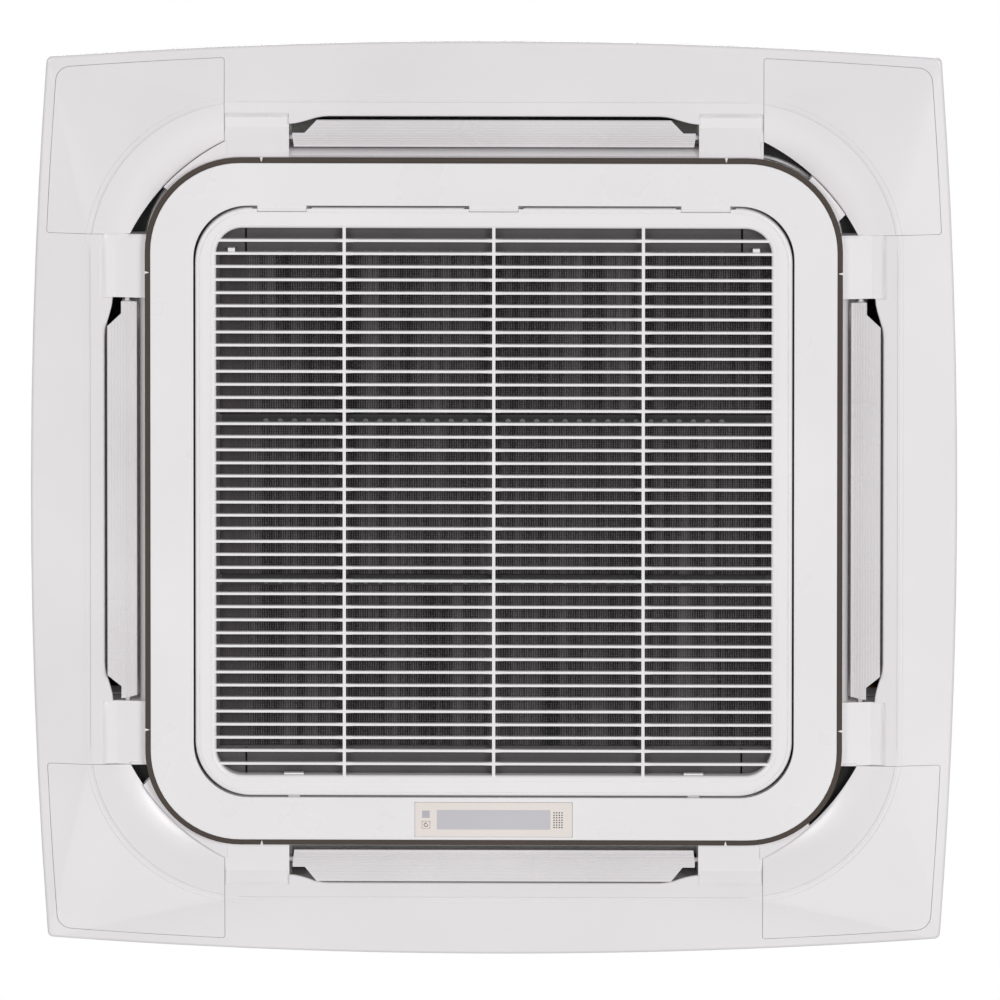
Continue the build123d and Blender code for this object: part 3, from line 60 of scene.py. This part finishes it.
# camera: below the panel, looking up, a little from the hinge side
cameraSetup = {
    "target": (0.0062, 0.0013, -0.008),
    "pitch": 10.0,          # degrees towards the hinge side
    "yaw": 0.6,             # degrees towards the right
    "roll": -0.13,          # degrees
    "distance": 40.0,       # metres, so that the view is almost parallel
    "frameWidth": 1.0255,   # metres across the picture
    "sensor": 36.0,         # millimetres
    "clipStart": 1.0, "clipEnd": 400.0,
}


def addCamera(setup):
    pitch, yaw, roll = (math.radians(setup[key]) for key in ("pitch", "yaw", "roll"))
    away = Vector((math.sin(yaw), -math.sin(pitch), -math.cos(pitch) * math.cos(yaw))).normalized()
    right = Vector((math.cos(roll), math.sin(roll), 0))
    right = (right - away * right.dot(away)).normalized()
    up = away.cross(right)
    bpy.ops.object.camera_add(location=Vector(setup["target"]) + away * setup["distance"])
    camera = bpy.context.object
    camera.name = "camera"
    camera.rotation_euler = Matrix((right, up, away)).transposed().to_euler()
    camera.data.sensor_width = setup["sensor"]
    camera.data.lens = setup["sensor"] * setup["distance"] / setup["frameWidth"]
    camera.data.clip_start = setup["clipStart"]
    camera.data.clip_end = setup["clipEnd"]
    bpy.context.scene.camera = camera


addCamera(cameraSetup)
print("camera placed")


# studio: soft sky light, two broad lamps below the panel on the hinge side, a front lamp
# and a weak one from above for the body
studio = {
    "sky": 0.30, "skyTint": "#FFFFFF",
    "lamps": (              # name, strength, angle across in degrees, where it shines from
        ("keyLamp", 0.65, 18, (-0.50, -0.25, -1.0)),
        ("fillLamp", 1.05, 20, (0.52, -0.22, -1.0)),
        ("frontLamp", 0.70, 45, (0.05, 0.16, -1.0)),
        ("topLamp", 1.0, 60, (-0.4, -0.5, 1.0)),
    ),
    "lampReach": 3,         # metres, only where the lamp's mark stands
    "floorDepth": 130.0, "floorSize": 60.0, "floorColour": "#ECECEC", "floorRoughness": 0.9,
}


def toLinear(hexColour):
    values = [int(hexColour[i:i + 2], 16) / 255 for i in (1, 3, 5)]
    linear = (v / 12.92 if v <= 0.04045 else ((v + 0.055) / 1.055) ** 2.4 for v in values)
    return tuple(linear) + (1.0,)


def addNode(tree, kind, settings=None, links=None):
    # settings are sockets by name or number, else properties; links give a source for each socket
    node = tree.nodes.new(kind)
    for name, value in (settings or {}).items():
        if isinstance(name, int) or name in node.inputs:
            node.inputs[name].default_value = value
        else:
            setattr(node, name, value)
    for name, source in (links or {}).items():
        tree.links.new(source, node.inputs[name])
    return node


def addStudio(setup):
    world = bpy.data.worlds.new("studioSky")
    bpy.context.scene.world = world
    world.use_nodes = True
    tree = world.node_tree
    tree.nodes.clear()
    rays = addNode(tree, "ShaderNodeLightPath")
    seen = addNode(tree, "ShaderNodeMath", {"operation": "MAXIMUM"},
                   {0: rays.outputs["Is Camera Ray"], 1: rays.outputs["Is Glossy Ray"]})
    seenToo = addNode(tree, "ShaderNodeMath", {"operation": "MAXIMUM"},
                      {0: seen.outputs[0], 1: rays.outputs["Is Transmission Ray"]})
    sky = addNode(tree, "ShaderNodeBackground",
                  {"Color": toLinear(setup["skyTint"]), "Strength": setup["sky"]})
    white = addNode(tree, "ShaderNodeBackground", {"Color": (1, 1, 1, 1), "Strength": 1.0})
    mix = addNode(tree, "ShaderNodeMixShader", None,
                  {0: seenToo.outputs[0], 1: sky.outputs[0], 2: white.outputs[0]})
    addNode(tree, "ShaderNodeOutputWorld", None, {"Surface": mix.outputs[0]})
    for name, strength, angle, comesFrom in setup["lamps"]:
        bpy.ops.object.light_add(type="SUN", location=Vector(comesFrom) * setup["lampReach"])
        lamp = bpy.context.object
        lamp.name = name
        lamp.rotation_euler = Vector(comesFrom).to_track_quat("Z", "Y").to_euler()
        lamp.data.energy = strength
        lamp.data.angle = math.radians(angle)
    bpy.ops.mesh.primitive_plane_add(size=setup["floorSize"], location=(0, 0, -setup["floorDepth"]))
    floor = bpy.context.object
    floor.name = "paleFloor"
    paint = bpy.data.materials.new("floorPaint")
    paint.use_nodes = True
    shader = paint.node_tree.nodes["Principled BSDF"]
    shader.inputs["Base Color"].default_value = toLinear(setup["floorColour"])
    shader.inputs["Roughness"].default_value = setup["floorRoughness"]
    floor.data.materials.append(paint)


addStudio(studio)
bpy.context.scene.view_settings.view_transform = "Standard"
print("studio lit")


def newFinish(name, colour, roughness, metallic=0.0, ior=1.5, gloss=0.5):
    finish = bpy.data.materials.new(name)
    finish.use_nodes = True
    shader = finish.node_tree.nodes["Principled BSDF"]
    shader.inputs["Base Color"].default_value = toLinear(colour)
    shader.inputs["Roughness"].default_value = roughness
    shader.inputs["Metallic"].default_value = metallic
    shader.inputs["IOR"].default_value = ior
    shader.inputs["Specular IOR Level"].default_value = gloss
    return finish, finish.node_tree, shader


def rampBetween(tree, source, dark, light, low=0.0, high=1.0):
    # source value turned into a colour from dark to light
    ramp = addNode(tree, "ShaderNodeValToRGB", None, {"Fac": source})
    ramp.color_ramp.elements[0].position = low
    ramp.color_ramp.elements[0].color = toLinear(dark)
    ramp.color_ramp.elements[1].position = high
    ramp.color_ramp.elements[1].color = toLinear(light)
    return ramp.outputs["Color"]


def colourByNoise(tree, shader, dark, light, scale, detail=3.0, low=0.35, high=0.65):
    # slow drift between two close tones
    coords = addNode(tree, "ShaderNodeTexCoord")
    noise = addNode(tree, "ShaderNodeTexNoise", {"Scale": scale, "Detail": detail},
                    {"Vector": coords.outputs["Object"]})
    colour = rampBetween(tree, noise.outputs["Fac"], dark, light, low, high)
    tree.links.new(colour, shader.inputs["Base Color"])
    return coords


def roughByNoise(tree, shader, coords, scale, low, high, detail=4.0):
    # smoother and rougher patches
    noise = addNode(tree, "ShaderNodeTexNoise", {"Scale": scale, "Detail": detail},
                    {"Vector": coords.outputs["Object"]})
    spread = addNode(tree, "ShaderNodeMapRange", {"To Min": low, "To Max": high},
                     {"Value": noise.outputs["Fac"]})
    tree.links.new(spread.outputs[0], shader.inputs["Roughness"])


def bumpFrom(tree, shader, source, strength, depth):
    bump = addNode(tree, "ShaderNodeBump", {"Strength": strength, "Distance": depth},
                   {"Height": source})
    tree.links.new(bump.outputs[0], shader.inputs["Normal"])


def bumpByNoise(tree, shader, coords, scale, depth, strength, detail=2.0):
    # fine grain
    noise = addNode(tree, "ShaderNodeTexNoise", {"Scale": scale, "Detail": detail},
                    {"Vector": coords.outputs["Object"]})
    bumpFrom(tree, shader, noise.outputs["Fac"], strength, depth)


plasticLook = {
    "ior": 1.53,
    "sheenScale": 14.0, "smoother": 0.05, "rougher": 0.06,   # roughness drifts by this much
    "sparkStrength": 0.25,
}


def mouldedPlastic(name, dark, light, roughness, grain=0.00003, sparkScale=1800.0, drift=5.0,
                   gloss=0.5, look=plasticLook):
    # injection-moulded plastic: an even colour, a barely visible spark texture and a soft sheen
    finish, tree, shader = newFinish(name, light, roughness, ior=look["ior"], gloss=gloss)
    coords = colourByNoise(tree, shader, dark, light, drift)
    roughByNoise(tree, shader, coords, look["sheenScale"],
                 roughness - look["smoother"], roughness + look["rougher"])
    bumpByNoise(tree, shader, coords, sparkScale, grain, look["sparkStrength"])
    return finish


spangleLook = {
    "dull": "#9CA1A5", "bright": "#C2C6C9", "colour": "#AEB2B5", "roughness": 0.42, "metallic": 0.85,
    "crystals": 85.0,                  # to the metre: 8 to 15 mm across
    "bendScale": 40.0, "bend": 0.006,  # how far their edges wander, in metres
    "smooth": 0.32, "rough": 0.52,
}


def galvanisedSheet(look):
    # hot-dip zinc on steel: angular spangle, dull grey with brighter crystals
    finish, tree, shader = newFinish("galvanisedSheet", look["colour"], look["roughness"],
                                     look["metallic"])
    coords = addNode(tree, "ShaderNodeTexCoord")
    bend = addNode(tree, "ShaderNodeTexNoise", {"Scale": look["bendScale"], "Detail": 2.0},
                   {"Vector": coords.outputs["Object"]})
    warp = addNode(tree, "ShaderNodeVectorMath", {"operation": "SCALE", "Scale": look["bend"]},
                   {0: bend.outputs["Color"]})
    moved = addNode(tree, "ShaderNodeVectorMath", {"operation": "ADD"},
                    {0: coords.outputs["Object"], 1: warp.outputs[0]})
    cells = addNode(tree, "ShaderNodeTexVoronoi", {"Scale": look["crystals"]},
                    {"Vector": moved.outputs[0]})
    split = addNode(tree, "ShaderNodeSeparateColor", None, {0: cells.outputs["Color"]})
    colour = rampBetween(tree, split.outputs[0], look["dull"], look["bright"])
    tree.links.new(colour, shader.inputs["Base Color"])
    spread = addNode(tree, "ShaderNodeMapRange", {"To Min": look["smooth"], "To Max": look["rough"]},
                     {"Value": split.outputs[1]})
    tree.links.new(spread.outputs[0], shader.inputs["Roughness"])
    return finish


metalLook = {
    "detail": 4.0,
    "patchScale": 90.0, "smoother": 0.07, "rougher": 0.09,   # roughness drifts by this much
    "grainScale": 700.0, "grain": 0.00002, "grainStrength": 0.3,
}


def plainMetal(name, dark, light, roughness, scale=60.0, look=metalLook):
    # bare or plated metal: faint patches of handling and a fine grain
    finish, tree, shader = newFinish(name, light, roughness, 1.0)
    coords = colourByNoise(tree, shader, dark, light, scale, look["detail"])
    roughByNoise(tree, shader, coords, look["patchScale"],
                 roughness - look["smoother"], roughness + look["rougher"])
    bumpByNoise(tree, shader, coords, look["grainScale"], look["grain"], look["grainStrength"])
    return finish


beadLook = {"roughness": 0.85, "ior": 1.45, "seam": 0.25, "bump": 0.6}


def foamBeads(name, dark, light, beadSize, depth, look=beadLook):
    # steam-moulded polystyrene: fused beads a few millimetres across, matt
    finish, tree, shader = newFinish(name, light, look["roughness"], ior=look["ior"])
    coords = addNode(tree, "ShaderNodeTexCoord")
    beads = addNode(tree, "ShaderNodeTexVoronoi",
                    {"Scale": 1 / beadSize, "feature": "DISTANCE_TO_EDGE"},
                    {"Vector": coords.outputs["Object"]})
    colour = rampBetween(tree, beads.outputs["Distance"], dark, light, 0.0, look["seam"])
    tree.links.new(colour, shader.inputs["Base Color"])
    bumpFrom(tree, shader, beads.outputs["Distance"], look["bump"], depth)
    return finish


netLook = {
    "colour": "#2B2A2B", "roughness": 0.75, "ior": 1.49, "gloss": 0.2,
    "streakScale": 75.0, "streakLong": 0.03, "streakDetail": 3.0, "streakRough": 0.7,
    "speckScale": 420.0, "speckDetail": 2.0,
    "threadsX": 131.0, "slackX": 1.2, "threadsY": 175.0, "slackY": 0.6, "knotFloor": 0.35,
    "dark": "#0B0A0B", "light": "#625E60", "darkEnd": 0.50,
    "selvedge": "#413D3F", "selvedgeFrom": -0.256, "selvedgeTo": -0.249, "selvedgeShare": 0.8,
    "bump": 0.5, "depth": 0.0003,
}


def filterNet(look):
    # woven polypropylene net, charcoal: uneven upright streaks 6 to 20 mm wide are painted light and
    # shade of its slack ripples, with finer dust among them, and a closer, paler selvedge runs along
    # the left side; the threads are 0.6 mm apart in the real one and drawn 1.8 to 2.4 mm apart, so
    # that they show
    finish, tree, shader = newFinish("wovenFilterNet", look["colour"], look["roughness"],
                                     ior=look["ior"], gloss=look["gloss"])
    coords = addNode(tree, "ShaderNodeTexCoord")
    place = addNode(tree, "ShaderNodeMapping", {"Scale": (1, look["streakLong"], 1)},
                    {"Vector": coords.outputs["Object"]})
    # upright streaks: painted light and shade of the net's slack ripples, with finer dust
    streaks = addNode(tree, "ShaderNodeTexNoise",
                      {"Scale": look["streakScale"], "Detail": look["streakDetail"],
                       "Roughness": look["streakRough"]}, {"Vector": place.outputs[0]})
    specks = addNode(tree, "ShaderNodeTexNoise",
                     {"Scale": look["speckScale"], "Detail": look["speckDetail"]},
                     {"Vector": coords.outputs["Object"]})
    weaveX, weaveY = (addNode(tree, "ShaderNodeTexWave",
                              {"Scale": look["threads" + way], "Distortion": look["slack" + way],
                               "bands_direction": way}, {"Vector": coords.outputs["Object"]})
                      for way in "XY")
    knots = addNode(tree, "ShaderNodeMapRange", {"To Min": look["knotFloor"]},
                    {"Value": weaveY.outputs["Fac"]})
    both = addNode(tree, "ShaderNodeMath", {"operation": "MULTIPLY"},
                   {0: weaveX.outputs["Fac"], 1: knots.outputs[0]})
    grain = addNode(tree, "ShaderNodeMath", {"operation": "MULTIPLY"},
                    {0: both.outputs[0], 1: specks.outputs["Fac"]})
    tone = addNode(tree, "ShaderNodeMath", {"operation": "ADD"},
                   {0: grain.outputs[0], 1: streaks.outputs["Fac"]})
    colour = rampBetween(tree, tone.outputs[0], look["dark"], look["light"], look["darkEnd"])
    split = addNode(tree, "ShaderNodeSeparateXYZ", None, {"Vector": coords.outputs["Object"]})
    edge = addNode(tree, "ShaderNodeMapRange",
                   {"From Min": look["selvedgeFrom"], "From Max": look["selvedgeTo"],
                    "To Min": look["selvedgeShare"], "To Max": 0.0}, {"Value": split.outputs["X"]})
    tint = addNode(tree, "ShaderNodeMixRGB", {"Color2": toLinear(look["selvedge"])},
                   {"Fac": edge.outputs[0], "Color1": colour})
    tree.links.new(tint.outputs[0], shader.inputs["Base Color"])
    bumpFrom(tree, shader, both.outputs[0], look["bump"], look["depth"])
    return finish


filterFrameLook = {
    "colour": "#454344", "dark": "#3C3A3B", "light": "#524F50", "mottleScale": 28.0,
    "roughness": 0.42, "ior": 1.53, "gloss": 0.3,
    "ribs": "#1E1C1D", "ribsWithin": 0.12, "borderFrom": 0.279,     # metres from the middle
    "sheenScale": 30.0, "smooth": 0.36, "rough": 0.5,
    "grainScale": 1200.0, "grain": 0.00005, "grainStrength": 0.25,
}


def filterFramePlastic(look):
    # moulded nylon, charcoal: a band across the middle, where the two cross ribs run, is darker than
    # the border
    finish, tree, shader = newFinish("blackNylonFrame", look["colour"], look["roughness"],
                                     ior=look["ior"], gloss=look["gloss"])
    coords = addNode(tree, "ShaderNodeTexCoord")
    mottle = addNode(tree, "ShaderNodeTexNoise", {"Scale": look["mottleScale"], "Detail": 3.0},
                     {"Vector": coords.outputs["Object"]})
    colour = rampBetween(tree, mottle.outputs["Fac"], look["dark"], look["light"])
    split = addNode(tree, "ShaderNodeSeparateXYZ", None, {"Vector": coords.outputs["Object"]})
    inside = []
    for axis, limit in (("Y", look["ribsWithin"]), ("X", look["borderFrom"])):
        off = addNode(tree, "ShaderNodeMath", {"operation": "ABSOLUTE"}, {0: split.outputs[axis]})
        inside.append(addNode(tree, "ShaderNodeMath", {"operation": "LESS_THAN", 1: limit},
                              {0: off.outputs[0]}))
    ribs = addNode(tree, "ShaderNodeMath", {"operation": "MULTIPLY"},
                   {0: inside[0].outputs[0], 1: inside[1].outputs[0]})
    tint = addNode(tree, "ShaderNodeMixRGB", {"Color2": toLinear(look["ribs"])},
                   {"Fac": ribs.outputs[0], "Color1": colour})
    tree.links.new(tint.outputs[0], shader.inputs["Base Color"])
    roughByNoise(tree, shader, coords, look["sheenScale"], look["smooth"], look["rough"])
    bumpByNoise(tree, shader, coords, look["grainScale"], look["grain"], look["grainStrength"])
    return finish


finLook = {
    # gap: painted shade between the fins
    "colour": "#B9C6CF", "gap": "#56626B", "edge": "#C6D2DA", "edgeFrom": 0.4,
    "roughness": 0.45, "metallic": 0.7,
    "fins": 52.0,                      # wave scale: one fin every 6 mm
    "bump": 0.8, "depth": 0.0008,
}


def coatedFins(look):
    # stacked aluminium fins with a pale blue hydrophilic coat, seen on edge; they are 1.5 mm
    # apart in the real one and drawn 6 mm apart, so that they show
    finish, tree, shader = newFinish("coatedFins", look["colour"], look["roughness"],
                                     look["metallic"])
    coords = addNode(tree, "ShaderNodeTexCoord")
    finsX, finsY = (addNode(tree, "ShaderNodeTexWave",
                            {"Scale": look["fins"], "bands_direction": way},
                            {"Vector": coords.outputs["Object"]}) for way in "XY")
    both = addNode(tree, "ShaderNodeMath", {"operation": "MULTIPLY"},
                   {0: finsX.outputs["Fac"], 1: finsY.outputs["Fac"]})
    # painted shade: the darker tone between the drawn fins stands for the shade in the gaps between
    # them
    colour = rampBetween(tree, both.outputs[0], look["gap"], look["edge"], 0.0, look["edgeFrom"])
    tree.links.new(colour, shader.inputs["Base Color"])
    bumpFrom(tree, shader, both.outputs[0], look["bump"], look["depth"])
    return finish


# one finish for each material slot of the record, and three more for the ring and the new pieces
finishes = {
    "white_plastic": mouldedPlastic("mouldedWhiteAbs", "#E6E3E5", "#EAE7E9", 0.24),
    # painted light: the ring's copy of the white plastic is a shade lighter, standing for the
    # frontal light and sheen on its flat face
    "ring_plastic_painted_light": mouldedPlastic("mouldedRingAbsPaintedLight", "#EBE9EA", "#EFEDEE", 0.28),
    "grille_plastic": mouldedPlastic("mouldedGrilleStyrene", "#EDEBEC", "#F0EEEF", 0.32),
    # painted shade: the louvres' copy of the white plastic is a shade darker, standing for the shade
    # in their grooves and in the slots around them
    "louvre_plastic": mouldedPlastic("mouldedLouvreAbsPaintedShade", "#DFDCDE", "#E6E3E5", 0.26),
    "brown_trim": mouldedPlastic("mouldedBrownTrim", "#362C25", "#3E332B", 0.5, gloss=0.3),
    "cream_plastic": mouldedPlastic("mouldedCreamAbs", "#E5DCD7", "#EAE1DC", 0.40),
    "display_lens": mouldedPlastic("frostedDisplayLens", "#C2C0C6", "#C8C6CB", 0.22, 0.00001),
    "sensor_lens": mouldedPlastic("smokedInfraredLens", "#B6B5BC", "#BDBBC2", 0.18, 0.00001),
    "circuit_board": mouldedPlastic("greenSolderMask", "#1D5A36", "#267043", 0.30, drift=60.0),
    "black_foam": mouldedPlastic("closedCellFoam", "#1A1A1A", "#242424", 0.85, 0.0002, 900.0),
    "filter_plastic": filterFramePlastic(filterFrameLook),
    "filter_hooks": mouldedPlastic("greyNylonHooks", "#575455", "#676465", 0.45, 0.00005, gloss=0.3),
    "filter_net": filterNet(netLook),
    "motor_steel": plainMetal("zincPlatedSteel", "#9B9D9E", "#B4B6B7", 0.34),
    "motor_case": plainMetal("dieCastAluminium", "#A6A9AB", "#B9BCBE", 0.48),
    "bush_plastic": mouldedPlastic("darkAcetal", "#3A3431", "#463F3B", 0.35),
    "zinc_steel": galvanisedSheet(spangleLook),
    "screw_steel": plainMetal("brightZincScrews", "#B1B1AB", "#C9C9C3", 0.28),
    # partly painted light: the foam's bead pattern is its own, and its mid grey is lifted to stand
    # in for the light reaching the deep duct interior
    "foam": foamBeads("greyBeadFoam", "#8E8E8D", "#A2A2A0", 0.004, 0.0006),
    "pan_foam": foamBeads("whiteBeadFoam", "#CFCFCC", "#DEDEDB", 0.0035, 0.0003),
    "rubber": mouldedPlastic("blackRubber", "#161616", "#202020", 0.75, 0.0001, 600.0),
    "dark_plastic": mouldedPlastic("glassFilledPlastic", "#2B2B2D", "#353537", 0.5, 0.00006, 900.0),
    "fin_aluminium": coatedFins(finLook),
    "copper": plainMetal("drawnCopper", "#A8603E", "#C77F5A", 0.30, 25.0),
    "grey_plastic": mouldedPlastic("greyPvc", "#979B9E", "#A5A9AC", 0.38),
    "capacitor_case": mouldedPlastic("whitePolypropylene", "#DAD9D4", "#E2E1DC", 0.42),
    "printed_mark": mouldedPlastic("printedMarkInk", "#3C3631", "#4A443E", 0.5, 0.000005),
}
slotOf = {part["node"]: part["material_slot"] for part in frame["record"]["subparts"]}
slotOf["centre_ring"] = "ring_plastic_painted_light"   # the ring's finish is the frame's white plastic painted a shade lighter: painted light for the frontal light and sheen on its flat face
for name, thing in nodes.items():
    meshes = [thing] if thing.type == "MESH" else [c for c in thing.children_recursive
                                                   if c.type == "MESH"]
    for piece in meshes:
        if not piece.material_slots:
            piece.data.materials.append(finishes[slotOf[name]])
        for slot in piece.material_slots:
            slot.material = finishes[slotOf[name]]
print("finishes set")


def startFresh():
    bpy.ops.object.select_all(action="DESELECT")


def editAll(obj):
    # edit mode on one object, with all of it selected
    bpy.context.view_layer.objects.active = obj
    bpy.ops.object.mode_set(mode="EDIT")
    bpy.ops.mesh.select_all(action="SELECT")


def selectFaces(obj, test):
    # faces chosen by their place and normal; it leaves edit mode on
    bpy.ops.object.mode_set(mode="OBJECT")
    for polygon in obj.data.polygons:
        polygon.select = test(polygon.center, polygon.normal)
    bpy.ops.object.mode_set(mode="EDIT")
    bpy.ops.mesh.select_mode(type="FACE")


def settle(obj, name, body, finish, smoothAngle=35):
    # place, turn and scale go into the mesh; then its finish, body and slot are set
    bpy.ops.object.mode_set(mode="OBJECT")
    startFresh()
    obj.select_set(True)
    bpy.context.view_layer.objects.active = obj
    bpy.ops.object.transform_apply(location=True, rotation=True, scale=True)
    bpy.ops.object.shade_smooth_by_angle(angle=math.radians(smoothAngle))
    obj.name = name
    obj.data.materials.clear()
    obj.data.materials.append(finish)
    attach(obj, body)
    return obj


# filter net: woven sheet stretched over the filter frame, with slack upright ripples
netSheet = {
    "inset": 0.0012,                      # inside the CAD sheet's outline
    "corner": 0.039,
    "columns": 230, "rows": 16,
    "ripples": ((0.00022, 0.0171, 0.3),   # height, length, phase
                (0.00016, 0.0093, 1.1),
                (0.00008, 0.0047, 2.0)),
    "smoothAngle": 60,
}


def makeFilterNet(size):
    low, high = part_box("filter_mesh")
    half = (high[0] - low[0]) / 2 - size["inset"]
    middle = (low[2] + high[2]) / 2
    corner = size["corner"]
    startFresh()
    bpy.ops.mesh.primitive_grid_add(x_subdivisions=size["columns"], y_subdivisions=size["rows"],
                                    size=2 * half, location=(0, 0, 0))
    net = bpy.context.object
    for vertex in net.data.vertices:
        x, y = vertex.co.x, vertex.co.y
        dx, dy = max(abs(x) - (half - corner), 0), max(abs(y) - (half - corner), 0)
        reach = math.hypot(dx, dy)
        if dx > 0 and dy > 0 and reach > corner:      # corners drawn in to a round
            vertex.co.x -= math.copysign(dx * (1 - corner / reach), x)
            vertex.co.y -= math.copysign(dy * (1 - corner / reach), y)
        vertex.co.z = middle + sum(height * math.sin(2 * math.pi * x / length + phase)
                                   for height, length, phase in size["ripples"])
    net = settle(net, "wovenFilterNet", "filter", finishes["filter_net"],
                 size["smoothAngle"])
    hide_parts("filter_mesh")


makeFilterNet(netSheet)
print("filter net stretched")


# hooks that hold the net: a row of small round bosses on the frame's back end and on both ribs
netHooks = {
    "radius": 0.0029, "height": 0.0009, "sides": 14,
    "edge": 0.0003, "edgeSteps": 2, "facesDown": -0.9,
    "proud": 0.0002,                          # below the frame's face
    "pitch": 0.0146,
    "rows": (-0.2565, -0.0818, 0.0848),       # place of each row across the frame
    "clear": 0.2385,                          # none further out than this
}


def makeNetHooks(size):
    low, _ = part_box("filter_frame")
    startFresh()
    bpy.ops.mesh.primitive_cylinder_add(vertices=size["sides"], radius=size["radius"],
                                        depth=size["height"], location=(0, 0, 0))
    hook = bpy.context.object
    selectFaces(hook, lambda place, normal: normal.z < size["facesDown"])
    bpy.ops.mesh.bevel(offset=size["edge"], segments=size["edgeSteps"])
    bpy.ops.mesh.select_all(action="DESELECT")
    bpy.ops.object.mode_set(mode="OBJECT")
    level = low[2] - size["proud"] + size["height"] / 2
    count = int(size["clear"] / size["pitch"])
    pieces = []
    for across in size["rows"]:
        for i in range(-count, count + 1):
            piece = hook.copy()
            piece.data = hook.data.copy()
            piece.location = (i * size["pitch"], across, level)
            bpy.context.collection.objects.link(piece)
            pieces.append(piece)
    bpy.data.objects.remove(hook)
    startFresh()
    for piece in pieces:
        piece.select_set(True)
    bpy.context.view_layer.objects.active = pieces[0]
    bpy.ops.object.transform_apply(location=True, rotation=True, scale=True)
    bpy.ops.object.join()
    settle(pieces[0], "netHooks", "filter", finishes["filter_hooks"])


makeNetHooks(netHooks)
print("net hooks set")


# power mark: a printed open ring with a short stroke, on the button's face
powerMark = {
    "radius": 0.0019, "line": 0.00065, "height": 0.00008,
    "gap": 50, "steps": 40,                  # degrees left open, and steps round
    "stroke": 0.0022, "strokeAt": 0.75,      # length, and its middle as a share of the radius
    "edge": 0.00012, "edgeSteps": 2,
    "proud": 0.4,                            # share of its height below the button's face
}


def makePowerMark(size):
    low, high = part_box("power_button")
    startFresh()
    bpy.ops.mesh.primitive_plane_add(size=1, location=(0, 0, 0))
    ring = bpy.context.object
    ring.scale = (size["line"], size["height"], 1)
    ring.rotation_euler = (math.radians(90), 0, 0)
    ring.location = (size["radius"], 0, 0)
    bpy.ops.object.transform_apply(location=True, rotation=True, scale=True)
    editAll(ring)
    bpy.ops.mesh.spin(steps=size["steps"], angle=math.radians(360 - size["gap"]),
                      center=(0, 0, 0), axis=(0, 0, 1))
    bpy.ops.object.mode_set(mode="OBJECT")
    startFresh()
    bpy.ops.mesh.primitive_cube_add(size=1, location=(0, -size["radius"] * size["strokeAt"], 0))
    stroke = bpy.context.object
    stroke.scale = (size["line"], size["stroke"], size["height"])
    bpy.ops.object.transform_apply(location=True, rotation=True, scale=True)
    editAll(stroke)
    bpy.ops.mesh.bevel(offset=size["edge"], segments=size["edgeSteps"])
    bpy.ops.object.mode_set(mode="OBJECT")
    ring.rotation_euler = (0, 0, math.radians(-90 + size["gap"] / 2))
    ring.select_set(True)
    stroke.select_set(True)
    bpy.context.view_layer.objects.active = ring
    bpy.ops.object.transform_apply(location=True, rotation=True, scale=True)
    bpy.ops.object.join()
    editAll(ring)
    bpy.ops.mesh.normals_make_consistent(inside=False)
    ring.location = ((low[0] + high[0]) / 2, (low[1] + high[1]) / 2,
                     low[2] - size["height"] * size["proud"])
    settle(ring, "powerMark", "button", finishes["printed_mark"])


makePowerMark(powerMark)
print("power mark printed")
